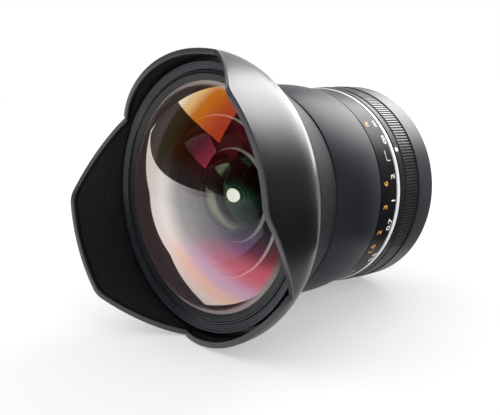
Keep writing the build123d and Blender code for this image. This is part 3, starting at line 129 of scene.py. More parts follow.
class Lathe:
    """An outline through the index mark that is turned about the optical axis."""

    def __init__(self) -> None:
        """Starts an empty outline."""
        self.bm = bmesh.new()
        self.chain: list[BMVert] = []

    def at(self, *corners: Pair) -> "Lathe":
        """Draws on through corners.

        Args:
            corners: Their stations and radii.

        Returns:
            The lathe.
        """
        for station, radius in corners:
            corner = self.bm.verts.new(spot(station, radius, 0.0))
            if self.chain:
                self.bm.edges.new((self.chain[-1], corner))
            self.chain.append(corner)
        return self

    def arc(self, station: float, radius: float, degrees: float, steps: int) -> "Lathe":
        """Draws on along an arc.

        Args:
            station: Station of the arc's centre.
            radius: Distance of the centre from the axis.
            degrees: How far the arc goes, positive from the front outwards.
            steps: Its number of edges.

        Returns:
            The lathe.
        """
        before = len(self.bm.verts)
        bmesh.ops.spin(
            self.bm, geom=[self.chain[-1]], cent=spot(station, radius, 0.0),
            axis=FORWARD.cross(radial(0.0)), angle=math.radians(degrees), steps=steps,
        )
        self.bm.verts.ensure_lookup_table()
        self.chain.extend(self.bm.verts[before:])
        return self

    def close(self) -> "Lathe":
        """Joins the outline's ends."""
        self.bm.edges.new((self.chain[-1], self.chain[0]))
        return self

    def spin(self, steps: int = TURN_STEPS) -> "Lathe":
        """Turns the outline all the way round.

        Args:
            steps: Number of steps.

        Returns:
            The lathe.
        """
        bmesh.ops.spin(
            self.bm, geom=[*self.bm.verts, *self.bm.edges], cent=Vector(), axis=FORWARD,
            angle=math.tau, steps=steps, use_merge=True,
        )
        bmesh.ops.remove_doubles(self.bm, verts=self.bm.verts, dist=SMALLEST)
        bmesh.ops.recalc_face_normals(self.bm, faces=self.bm.faces)
        return self

    def soften(
        self, offset: float, segments: int, only: Callable[[BMEdge], bool] = lambda edge: True,
        level: float = LEVEL,
    ) -> "Lathe":
        """Bevels the sharp edges that run round the axis.

        Args:
            offset: The bevel's width.
            segments: The bevel's segments.
            only: Which of the sharp edges.
            level: How far an edge's ends may differ in radius.

        Returns:
            The lathe.
        """
        sharp = [
            edge
            for edge in self.bm.edges
            if len(edge.link_faces) == 2
            and edge.calc_face_angle() > math.radians(SHARP_ANGLE)
            and abs(distance_from_axis(edge.verts[0].co) - distance_from_axis(edge.verts[1].co)) < level
            and only(edge)
        ]
        bmesh.ops.bevel(
            self.bm, geom=sharp, offset=offset, offset_type="OFFSET", segments=segments, profile=0.5,
            affect="EDGES", material=-1, clamp_overlap=True,
        )
        return self

    def turned(self, name: str, edge: float, segments: int = 3) -> Object:
        """Closes the outline, turns it and softens its edges.

        Args:
            name: The piece's name.
            edge: Width of the soft edges.
            segments: Their segments.

        Returns:
            The finished piece.
        """
        return finished(self.close().spin().soften(edge, segments).bm, name)


def finished(bm: BMesh, name: str) -> Object:
    """Makes an object of a bmesh, smooth but for its sharp edges.

    Args:
        bm: The bmesh, which is freed.
        name: The piece's name.

    Returns:
        The piece, at the origin.
    """
    mesh = bpy.data.meshes.new(name)
    bm.to_mesh(mesh)
    bm.free()
    mesh.shade_smooth()
    mesh.set_sharp_from_angle(angle=math.radians(SMOOTH_ANGLE))
    piece = bpy.data.objects.new(name, mesh)
    bpy.context.scene.collection.objects.link(piece)
    even = piece.modifiers.new("even_normals", "WEIGHTED_NORMAL")
    even.keep_sharp = True
    even.weight = NORMAL_WEIGHT
    return piece


def place(piece: Object, body: str, slot: str, finish: Material, *nodes: str) -> None:
    """Gives a piece its finish, its body and the nodes that it stands for.

    Args:
        piece: The piece.
        body: The body that it rides on.
        slot: The record's material slot; not used.
        finish: Its material, where it has none yet.
        nodes: The nodes that it replaces.
    """
    if not piece.data.materials:
        piece.data.materials.append(finish)
    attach(piece, body)
    if nodes:
        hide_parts(*nodes)
    log.info("%s: %d faces on %s", piece.name, len(piece.data.polygons), body)


def wrap(bm: BMesh, station: float, angle: float, radius: float) -> None:
    """Lays a flat drawing round a ring: X runs round it, Y forward and Z outwards.

    Args:
        bm: The drawing.
        station: Station of its origin.
        angle: Angle of its origin.
        radius: The ring's radius.
    """
    for vert in bm.verts:
        turn = angle + math.degrees(vert.co.x / radius)
        vert.co = spot(station + vert.co.y, radius + vert.co.z, turn)
    bmesh.ops.recalc_face_normals(bm, faces=bm.faces)


class Graph:
    """The node tree of a material or a world, with short calls for the nodes that are used."""

    def __init__(self, owner: Material | bpy.types.World) -> None:
        """Empties a tree.

        Args:
            owner: What the tree belongs to.
        """
        owner.use_nodes = True
        self.owner = owner
        self.tree = owner.node_tree
        self.tree.nodes.clear()

    def node(self, kind: str, *values: object, **settings: object) -> bpy.types.Node:
        """Adds a node.

        Args:
            kind: The node's type.
            values: What its first inputs get, in order.
            settings: Attributes of the node.

        Returns:
            The node.
        """
        made = self.tree.nodes.new(kind)
        for name, value in settings.items():
            setattr(made, name, value)
        for socket, value in zip(made.inputs, values):
            self.feed(socket, value)
        return made

    def feed(self, socket: Socket, value: object) -> None:
        """Links a socket, or sets it where the value is a plain one.

        Args:
            socket: The input.
            value: A socket, a number or a colour.
        """
        if isinstance(value, Socket):
            self.tree.links.new(value, socket)
        elif isinstance(value, tuple) and len(value) == 3 and socket.type == "RGBA":
            socket.default_value = (*value, 1.0)
        else:
            socket.default_value = value

    def maths(self, operation: str, *values: object) -> Socket:
        """Result of a Math node."""
        return self.node("ShaderNodeMath", *values, operation=operation).outputs[0]

    def between(self, value: object, low: float, high: float) -> Socket:
        """How far a value lies between two others, smoothly, from 0 to 1."""
        made = self.node("ShaderNodeMapRange", value, low, high, interpolation_type="SMOOTHSTEP")
        return made.outputs["Result"]

    def coordinates(self) -> tuple[Socket, ...]:
        """Object coordinates: the whole vector, then X, Y and Z."""
        whole = self.node("ShaderNodeTexCoord").outputs["Object"]
        return whole, *self.node("ShaderNodeSeparateXYZ", whole).outputs

    def radius(self, narrow: float = 1.0) -> Socket:
        """Distance from the optical axis.

        Args:
            narrow: Scale of the distance across.

        Returns:
            The distance.
        """
        _, across, _, height = self.coordinates()
        across = self.maths("MULTIPLY", across, narrow)
        squares = (self.maths("MULTIPLY", value, value) for value in (across, height))
        return self.maths("SQRT", self.maths("ADD", *squares))

    def waves(self, value: object, pitch: float) -> Socket:
        """A sine from 0 to 1 along a value, by its length of a wave."""
        swing = self.maths("SINE", self.maths("MULTIPLY", value, math.tau / pitch))
        return self.maths("MULTIPLY_ADD", swing, 0.5, 0.5)

    def noise(self, scale: float, detail: float = 3.0, stretch: Colour = (1.0, 1.0, 1.0)) -> Socket:
        """Noise on object coordinates.

        Args:
            scale: Features per metre.
            detail: Octaves.
            stretch: Its scale along each axis.

        Returns:
            The noise.
        """
        mapping = self.node("ShaderNodeMapping", self.coordinates()[0])
        mapping.inputs["Scale"].default_value = stretch
        made = self.node("ShaderNodeTexNoise")
        for name, value in (("Vector", mapping.outputs[0]), ("Scale", scale), ("Detail", detail)):
            self.feed(made.inputs[name], value)
        return made.outputs["Fac"]

    def blend(self, factor: object, first: object, second: object) -> Socket:
        """A mix of two colours.

        Args:
            factor: 0 for the first and 1 for the second.
            first: A colour.
            second: A colour.

        Returns:
            The colour.
        """
        made = self.node("ShaderNodeMix", factor, data_type="RGBA")
        for socket, colour in zip((each for each in made.inputs if each.type == "RGBA"), (first, second)):
            self.feed(socket, colour)
        return next(each for each in made.outputs if each.type == "RGBA")

    def uneven(self, pattern: object, colour: Colour, change: float) -> Socket:
        """A colour that is multiplied where a pattern is high."""
        changed = tuple(change * part for part in colour)
        return self.blend(self.between(pattern, *CONTRAST), colour, changed)

    def roughness(self, grain: object, middle: float) -> Socket:
        """Roughness that follows a grain a little."""
        return self.maths("MULTIPLY_ADD", grain, GRAIN_SHARE, middle - GRAIN_SHARE / 2)

    def ramp(self, value: object, stops: Tints) -> Socket:
        """A colour ramp.

        Args:
            value: Its factor.
            stops: Positions and colours, in order.

        Returns:
            The colour.
        """
        made = self.node("ShaderNodeValToRGB", value)
        made.color_ramp.interpolation = "EASE"
        elements = made.color_ramp.elements
        while len(elements) < len(stops):
            elements.new(1.0)
        for element, (position, colour) in zip(elements, stops):
            element.position = position
            element.color = (*colour, 1.0)
        return made.outputs["Color"]

    def bump(self, height: object, depth: float, under: object = None) -> Socket:
        """A bumped normal.

        Args:
            height: The height from 0 to 1.
            depth: Metres from 0 to 1.
            under: A normal that it adds to.

        Returns:
            The normal.
        """
        made = self.node("ShaderNodeBump")
        self.feed(made.inputs["Height"], height)
        self.feed(made.inputs["Distance"], depth)
        if under is not None:
            self.feed(made.inputs["Normal"], under)
        return made.outputs["Normal"]

    def seen(self) -> Socket:
        """1 for rays from the camera, a mirror or glass."""
        rays = self.node("ShaderNodeLightPath").outputs
        mirrored = self.maths("MAXIMUM", rays["Is Glossy Ray"], rays["Is Transmission Ray"])
        return self.maths("MAXIMUM", rays["Is Camera Ray"], mirrored)

    def principled(self, **inputs: object) -> Socket:
        """A Principled shader.

        Args:
            inputs: Its inputs, with underscores for spaces.

        Returns:
            The shader.
        """
        shader = self.node("ShaderNodeBsdfPrincipled")
        for name, value in inputs.items():
            self.feed(shader.inputs[name.replace("_", " ")], value)
        return shader.outputs[0]

    def mixed(self, share: object, over: Socket) -> Socket:
        """A shader that is clear where its share is 0."""
        clear = self.node("ShaderNodeBsdfTransparent").outputs[0]
        return self.node("ShaderNodeMixShader", share, clear, over).outputs[0]

    def end(self, shader: Socket, output: str = "ShaderNodeOutputMaterial") -> Material | bpy.types.World:
        """Ends the tree in a shader."""
        self.feed(self.node(output).inputs["Surface"], shader)
        return self.owner


@dataclass(frozen=True)
class Finish:
    """A named material that is built from its values."""

    name: str

    def material(self) -> Material:
        """Builds the material."""
        graph = Graph(bpy.data.materials.new(self.name))
        return graph.end(self.shader(graph))

    def shader(self, graph: Graph) -> Socket:
        """Adds the finish's nodes.

        Args:
            graph: Where they go.

        Returns:
            The shader that they end in.
        """
        raise NotImplementedError


@dataclass(frozen=True)
class Anodised(Finish):
    """Satin black metal with a fine blasted texture and, where it is turned, faint tool marks."""

    colour: Colour = (0.016, 0.0165, 0.018)
    rough: float = 0.4
    gloss: float = 0.5
    grain: float = 5200.0
    depth: float = 0.006 * MM
    turned: float = 0.0
    cloud: float = 45.0
    cloud_share: float = 0.06
    lighter: float = 1.5
    marks: float = 9000.0

    def shader(self, graph: Graph) -> Socket:
        """Adds the finish's nodes.

        Args:
            graph: Where they go.

        Returns:
            The shader that they end in.
        """
        grain = graph.noise(self.grain)
        cloud = graph.noise(self.cloud)
        rough = graph.maths("SUBTRACT", graph.roughness(grain, self.rough), self.cloud_share / 2)
        normal = graph.bump(grain, self.depth)
        if self.turned:
            marks = graph.noise(1.0, 1.0, (0.0, self.marks, 0.0))
            normal = graph.bump(marks, self.turned, normal)
        return graph.principled(
            Base_Color=graph.uneven(cloud, self.colour, self.lighter),
            Roughness=graph.maths("MULTIPLY_ADD", cloud, self.cloud_share, rough),
            Specular_IOR_Level=self.gloss, Normal=normal,
        )


@dataclass(frozen=True)
class HoodFinish(Finish):
    """Satin outside, burnished along the rear edge, with a painted highlight of lighter grey along the rim, and
    matt with fine grooves inside the petals, whose crests carry a painted highlight.
    """

    outside: Colour = (0.004, 0.0042, 0.0055)
    lighter: float = 1.4
    inside: Colour = (0.0025, 0.0025, 0.003)
    # How many times lighter the groove crests are than the inside: a painted highlight
    crest: float = 9.0
    cloud: float = 40.0
    grain: float = 5200.0
    grain_depth: float = 0.004 * MM
    wall_level: float = 0.99
    margin: float = 2.0 * MM
    margin_blend: float = 1.15
    pitch: float = 0.62 * MM
    grooves: int = 420
    groove_share: float = 0.35
    depth: float = 0.11 * MM
    rough: float = 0.31
    rough_inside: float = 0.2
    gloss: float = 0.42
    burnish: float = 0.17
    # A lighter grey along the rim edge, and the band's width: a painted highlight
    rim_highlight: Colour = (0.05, 0.05, 0.055)
    rim_highlight_width: float = 0.7 * MM
    burnish_width: float = 9.0 * MM
    span: Span = span_of("hood_shell")

    def shader(self, graph: Graph) -> Socket:
        """Adds the finish's nodes.

        Args:
            graph: Where they go.

        Returns:
            The shader that they end in.
        """
        grain = graph.noise(self.grain)
        _, across, along, height = graph.coordinates()
        wall, below = (
            graph.node("ShaderNodeAttribute", attribute_name=name).outputs["Fac"]
            for name in ("inner_wall", "below_rim")
        )
        within = graph.maths("GREATER_THAN", wall, self.wall_level)
        deep = graph.between(below, self.margin, self.margin * self.margin_blend)
        grooved = graph.maths("MULTIPLY", within, deep)
        rings = graph.waves(along, self.pitch)
        lines = graph.waves(graph.maths("ARCTAN2", across, height), math.tau / self.grooves)
        hatch = graph.maths("MULTIPLY", graph.maths("MULTIPLY_ADD", lines, self.groove_share, rings), grooved)
        # The band along the rim is painted lighter grey, a painted highlight, and its roughness is lowered as
        # at the rear edge
        rim_highlight = graph.maths("SUBTRACT", 1.0, graph.between(below, self.rim_highlight_width / 2, self.rim_highlight_width))
        # The groove crests inside the petals are painted lighter: a painted highlight
        painted_crest_highlights = tuple(self.crest * part for part in self.inside)
        colour = graph.blend(
            within,
            graph.uneven(graph.noise(self.cloud), self.outside, self.lighter),
            graph.blend(graph.maths("MULTIPLY", rings, grooved), self.inside, painted_crest_highlights),
        )
        rear, width = self.span.rear, self.burnish_width
        rubbed = graph.between(along, -rear - width, -rear - width / 2)
        rough = graph.maths("MULTIPLY_ADD", within, self.rough_inside, self.rough)
        rough = graph.maths("MULTIPLY_ADD", grain, GRAIN_SHARE, rough)
        rough = graph.maths("MULTIPLY_ADD", graph.maths("MAXIMUM", rubbed, rim_highlight), -self.burnish, rough)
        return graph.principled(
            Base_Color=graph.blend(rim_highlight, colour, self.rim_highlight), Roughness=rough, Specular_IOR_Level=self.gloss,
            Normal=graph.bump(hatch, self.depth, graph.bump(grain, self.grain_depth)),
        )


@dataclass(frozen=True)
class Plain(Finish):
    """Enamel, plastic, felt or board: one colour, a little uneven."""

    colour: Colour
    rough: float
    metallic: float = 0.0
    grain: float = 2500.0
    depth: float = 0.003 * MM
    darker: float = 0.8

    def relief(self, graph: Graph, grain: Socket) -> Socket:
        """Height of its surface."""
        return grain

    def shader(self, graph: Graph) -> Socket:
        """Adds the finish's nodes.

        Args:
            graph: Where they go.

        Returns:
            The shader that they end in.
        """
        grain = graph.noise(self.grain)
        return graph.principled(
            Base_Color=graph.uneven(grain, self.colour, self.darker), Metallic=self.metallic,
            Roughness=graph.roughness(grain, self.rough),
            Normal=graph.bump(self.relief(graph, grain), self.depth),
        )


@dataclass(frozen=True)
class TurnedMetal(Plain):
    """Bare or plated metal with fine circular tool marks."""

    metallic: float = 1.0
    grain: float = 1800.0
    depth: float = 0.0006 * MM
    darker: float = 0.82
    pitch: float = 0.05 * MM

    def relief(self, graph: Graph, grain: Socket) -> Socket:
        """Height of its surface."""
        return graph.waves(graph.radius(), self.pitch)


@dataclass(frozen=True)
class Edge:
    """The hazy outer edge of a glass face: where it starts, where it is full, its colour and its cover."""

    start: float
    full: float
    colour: Colour
    share: float


@dataclass(frozen=True)
class Coating(Finish):
    """A coated glass surface: clear where it is looked into, tinted by slant where it mirrors, with painted
    reflection colours in bands by height on the glass.
    """

    upper: Tints
    middle: Tints
    lower: Tints
    shares: tuple[Pair, ...]
    painted_upper_band: Pair = (0.0 * MM, 10.0 * MM)
    painted_lower_band: Pair = (-20.0 * MM, -6.0 * MM)
    edge: Edge | None = None

    def shader(self, graph: Graph) -> Socket:
        """Adds the finish's nodes.

        Args:
            graph: Where they go.

        Returns:
            The shader that they end in.
        """
        slant = graph.node("ShaderNodeLayerWeight", 0.5).outputs["Facing"]
        height = graph.coordinates()[3]
        lower, middle, upper = (graph.ramp(slant, tints) for tints in (self.lower, self.middle, self.upper))
        # Painted reflection colours: the tint changes by height on the glass, from the lower to the middle and
        # the upper band
        tint = graph.blend(graph.between(height, *self.painted_lower_band), lower, middle)
        tint = graph.blend(graph.between(height, *self.painted_upper_band), tint, upper)
        share = graph.ramp(slant, tuple((position, (value, value, value)) for position, value in self.shares))
        metallic: Socket | float = 1.0
        if self.edge:
            ground = graph.between(graph.radius(), self.edge.start, self.edge.full)
            tint = graph.blend(ground, tint, self.edge.colour)
            metallic = graph.maths("SUBTRACT", 1.0, ground)
            share = graph.maths("MAXIMUM", share, graph.maths("MULTIPLY", ground, self.edge.share))
        mirror = graph.principled(Base_Color=tint, Metallic=metallic, Roughness=0.0)
        return graph.mixed(share, mirror)


@dataclass(frozen=True)
class PaintedStopGlow(Finish):
    """A glass face that glows though it is no lamp: a painted bright disc where the open stop would show light
    through the lens, with painted green rings round it.
    """

    disc: float = 2.25 * MM
    outline: Pair = (0.98, 1.08)
    core: Pair = (0.92, 1.04)
    reach: float = 6.6 * MM
    widen: float = 0.72
    ring_pitch: float = 1.05 * MM
    ring_power: float = 6.0
    # Colours of the painted glow: the bright disc, its fringe, the halo and the rings round it, each shining as
    # its own light
    bright: Colour = (1.0, 1.0, 0.93)
    fringe: Colour = (0.75, 0.85, 0.12)
    halo: Colour = (0.002, 0.016, 0.009)
    ring: Colour = (0.05, 0.09, 0.07)
    ground: Colour = (0.01, 0.02, 0.015)
    rough: float = 0.2

    def shader(self, graph: Graph) -> Socket:
        """Adds the finish's nodes.

        Args:
            graph: Where they go.

        Returns:
            The shader that they end in.
        """
        radius = graph.radius(self.widen)
        out, fringe = (
            graph.between(radius, self.disc * low, self.disc * high)
            for low, high in (self.outline, self.core)
        )
        rings = graph.maths("POWER", graph.waves(radius, self.ring_pitch), self.ring_power)
        fade = graph.maths("SUBTRACT", 1.0, graph.between(radius, self.disc, self.reach))
        glow = graph.blend(graph.maths("MULTIPLY", rings, fade), self.halo, self.ring)
        core = graph.blend(fringe, self.bright, self.fringe)
        # The disc and rings glow with strength 1 though they are no lamp: painted light
        painted_glow = graph.principled(
            Base_Color=self.ground, Roughness=self.rough, Emission_Color=graph.blend(out, core, glow),
            Emission_Strength=1.0,
        )
        share = graph.maths("MAXIMUM", graph.maths("SUBTRACT", 1.0, out), fade)
        return graph.mixed(share, painted_glow)


@dataclass(frozen=True)
class RimInk(Finish):
    """The matt ink on a glass rim, thinner and browner at the outer edge of the largest element."""

    ink: Colour = (0.016, 0.013, 0.011)
    thin: Colour = (0.5, 0.36, 0.36)
    start: float = 33.8 * MM
    full: float = 35.6 * MM
    rough: float = 0.75
    grain: float = 2500.0
    depth: float = 0.003 * MM
    patchy: Pair = (0.5, 0.75)

    def shader(self, graph: Graph) -> Socket:
        """Adds the finish's nodes.

        Args:
            graph: Where they go.

        Returns:
            The shader that they end in.
        """
        grain = graph.noise(self.grain)
        outer = graph.between(graph.radius(), self.start, self.full)
        outer = graph.maths("MULTIPLY", outer, graph.maths("MULTIPLY_ADD", grain, *self.patchy))
        return graph.principled(
            Base_Color=graph.blend(outer, self.ink, self.thin), Roughness=graph.roughness(grain, self.rough),
            Normal=graph.bump(grain, self.depth),
        )


@dataclass
class PetalHood:
    """The petal hood: two long petals, two short ones, and steep shoulders between them."""

    wall: float = 2.0 * MM
    foot: float = 3.0 * MM
    ridge_drop: float = 3.8 * MM
    ridge_run: float = 11.6 * MM
    ridge_power: float = 2.7
    seat_drop: float = 4.58 * MM
    flat_angle: float = 19.0
    corner_angle: float = 24.0
    corner_drop: float = 1.07 * MM
    slope_start: float = 22.0
    slope_angle: float = 56.5
    slope_drop: float = 18.4 * MM
    short_angle: float = 57.5
    short_drop: float = 14.7 * MM
    short_crown: float = 3.0 * MM
    columns: int = 720
    outer_rows: tuple[float, ...] = (
        0.0, 0.02, 0.045, 0.07, 0.1, 0.14, 0.19, 0.25, 0.32, 0.4, 0.5, 0.65, 0.82, 1.0,
    )
    inner_rows: tuple[float, ...] = (1.0, 0.8, 0.6, 0.4, 0.2, 0.0)
    rim_edge: float = 0.38 * MM
    rim_segments: int = 2
    rim_slant: float = 0.5 * MM
    ridge_edge: float = 0.8 * MM
    ridge_segments: int = 4
    inset: float = 0.004 * MM
    span: Span = span_of("hood_shell")

    def rim(self, angle: float) -> float:
        """Station of the rim.

        Args:
            angle: Degrees from the index mark.

        Returns:
            The station.
        """
        away = min(angle % 180.0, 180.0 - angle % 180.0)
        if away <= self.flat_angle:
            return self.span.front
        if away <= self.corner_angle:
            share = (away - self.flat_angle) / (self.corner_angle - self.flat_angle)
            return self.span.front - self.corner_drop * share**2
        if away <= self.slope_angle:
            share = (away - self.slope_start) / (self.slope_angle - self.slope_start)
            return self.span.front - self.slope_drop * share
        reach = math.tan(math.radians(90.0 - self.short_angle))
        share = math.tan(math.radians(90.0 - max(away, self.short_angle))) / reach
        short = self.span.front - self.short_drop - self.short_crown * share**2
        if away >= self.short_angle:
            return short
        step = (away - self.slope_angle) / (self.short_angle - self.slope_angle)
        return (self.span.front - self.slope_drop) * (1.0 - step) + short * step

    def outer_radius(self, station: float) -> float:
        """Radius of the outside at a station."""
        share = min(max((station - self.span.rear) / self.ridge_run, 0.0), 1.0)
        return self.span.radius - self.inset - self.ridge_drop * (1.0 - share) ** self.ridge_power

    def below(self, vert: BMVert) -> float:
        """How far a vertex lies behind the rim."""
        return self.rim(angle_of(vert.co)) + vert.co.y

    def at_rim(self, edge: BMEdge) -> bool:
        """Whether an edge lies on the rim."""
        return all(self.below(vert) < SMALLEST for vert in edge.verts)

    def at_rear(self, edge: BMEdge) -> bool:
        """Whether an edge lies at the rear."""
        return all(-vert.co.y < self.span.rear + SMALLEST for vert in edge.verts)

    def shell(self) -> Object:
        """Turns the shell, then draws each column of it back to the rim."""
        rear, front = self.span.rear, self.span.front
        bore = self.span.radius - self.wall
        seat = self.span.radius - self.seat_drop
        lathe = Lathe().at((rear, seat))
        for share in self.outer_rows:
            station = rear + (front - rear) * share
            lathe.at((station, self.outer_radius(station)))
        for share in self.inner_rows:
            lathe.at((rear + self.foot + (front - rear - self.foot) * share, bore))
        bm = lathe.at((rear + self.foot, seat)).close().spin(self.columns).bm
        for vert in bm.verts:
            radius, station, angle = distance_from_axis(vert.co), -vert.co.y, angle_of(vert.co)
            inside = radius < bore + NEAR
            start = rear + self.foot if inside else rear
            if station > start + SMALLEST:
                station = start + (station - start) * (self.rim(angle) - start) / (front - start)
                vert.co = spot(station, radius if inside else self.outer_radius(station), angle)
        lathe.soften(self.ridge_edge, self.ridge_segments, self.at_rear)
        lathe.soften(self.rim_edge, self.rim_segments, self.at_rim, self.rim_slant)
        below = bm.verts.layers.float.new("below_rim")
        inner = bm.verts.layers.float.new("inner_wall")
        for vert in bm.verts:
            vert[below] = self.below(vert)
            on_bore = abs(distance_from_axis(vert.co) - bore) < NEAR
            vert[inner] = float(on_bore and -vert.co.y > rear + SMALLEST)
        return finished(bm, "petal_hood")

    def build(self) -> None:
        """Builds and dresses the hood."""
        place(self.shell(), "barrel", "hood", HoodFinish("hood_finish").material(), "hood_shell")


@dataclass
class FrontRings:
    """The trim ring with its bright lip and fine grooves, and the bevelled ring that holds the glass."""

    trim_width: float = 3.3 * MM
    trim_edge: float = 0.03 * MM
    lip: float = 0.42 * MM
    lip_step: float = 0.25 * MM
    lip_foot: float = 1.5
    rim_share: float = 0.8
    dish: float = 0.7 * MM
    grooves: int = 4
    groove_depth: float = 0.28 * MM
    skirt: float = 0.58 * MM
    gap: float = 0.02 * MM
    ring_width: float = 2.28 * MM
    ring_edge: float = 0.06 * MM
    land: float = 0.48 * MM
    bevel_drop: float = 0.55 * MM
    foot_width: float = 1.96 * MM
    foot_rise: float = 0.4 * MM
    trim: Span = span_of("trim_ring")
    retaining: Span = span_of("front_retaining_ring")
    barrel: Span = span_of("front_barrel")

    def trim_ring(self) -> Object:
        """Turns the trim ring."""
        edge, outer = self.trim.front, self.trim.radius
        bore = outer - self.trim_width
        seat = self.barrel.front + self.gap
        step = edge - self.lip_step
        lathe = Lathe().at((seat, bore), (step, bore), (step, bore + self.lip))
        first = bore + self.lip * self.lip_foot
        run = outer - self.lip - first
        for groove in range(self.grooves):
            share = groove / self.grooves
            height = edge - self.dish * (1.0 - share)
            lathe.at((height - self.groove_depth, first + run * share))
            lathe.at((height, first + run * (share + 0.5 / self.grooves)))
        lathe.at((edge - self.groove_depth, outer - self.lip), (edge, outer - self.lip * self.rim_share))
        lathe.at((edge, outer), (self.trim.rear, outer), (self.trim.rear, outer - self.skirt))
        return lathe.at((seat, outer - self.skirt)).turned("front_trim", self.trim_edge, 1)

    def retaining_ring(self) -> Object:
        """Turns the bevelled ring."""
        front, rear, outer = self.retaining.front, self.retaining.rear, self.retaining.radius
        bore = outer - self.ring_width
        lathe = Lathe().at((rear, outer), (front, outer), (front, outer - self.land))
        lathe.at((front - self.bevel_drop, bore), (rear + self.foot_rise, bore))
        return lathe.at((rear, outer - self.foot_width)).turned("glass_ring", self.ring_edge, 2)

    def build(self) -> None:
        """Builds and dresses both rings."""
        trim = Anodised("trim_satin", (0.014, 0.015, 0.022), 0.27, gloss=0.6)
        dark = Anodised("glass_ring_satin", (0.008, 0.008, 0.010), 0.4)
        place(self.trim_ring(), "barrel", "trim", trim.material(), "trim_ring")
        place(self.retaining_ring(), "barrel", "trim", dark.material(), "front_retaining_ring")


@dataclass
class FrontBarrel:
    """The cone behind the hood."""

    wall: float = 2.1 * MM
    waist_radius: float = 36.05 * MM
    cone_length: float = 16.1 * MM
    seat_step: float = 0.6 * MM
    cell_bore: float = 40.02 * MM
    shoulder_bore: float = 36.0 * MM
    shoulder_depth: float = 7.0 * MM
    shoulder_length: float = 3.0 * MM
    bore: float = 30.42 * MM
    web: float = 2.0 * MM
    edge: float = 0.18 * MM
    span: Span = span_of("front_barrel")

    def cone(self) -> Object:
        """Turns the cone."""
        start, end, outer = self.span.rear, self.span.front, self.span.radius
        ridge = start + self.cone_length
        seat = outer - self.seat_step
        slope = (outer - self.waist_radius) / self.cone_length
        shoulder = end - self.shoulder_depth
        rear = shoulder - self.shoulder_length
        web = start + self.web
        lathe = Lathe().at((start, self.waist_radius), (ridge, outer), (ridge, seat), (end, seat))
        lathe.at((end, self.cell_bore), (shoulder, self.cell_bore))
        lathe.at((shoulder, self.shoulder_bore), (rear, self.shoulder_bore))
        lathe.at((rear, self.waist_radius + slope * (rear - start) - self.wall))
        lathe.at((web, self.waist_radius + slope * self.web - self.wall), (web, self.bore))
        return lathe.at((start, self.bore)).turned("front_cone", self.edge)

    def build(self) -> None:
        """Builds and dresses the cone."""
        finish = Anodised("cone_satin", (0.006, 0.0065, 0.009), 0.5, gloss=0.08, turned=0.0015 * MM)
        place(self.cone(), "barrel", "barrel_paint", finish.material(), "front_barrel")


class Ink(Enum):
    """Inks of the distance scale."""

    WHITE = "white_ink"
    ORANGE = "orange_ink"


@dataclass(frozen=True)
class Mark:
    """A number or sign printed on the scale ring."""

    text: str
    station: float
    angle: float
    ink: Ink = Ink.WHITE
    turned: bool = False
    size: float = 2.9 * MM


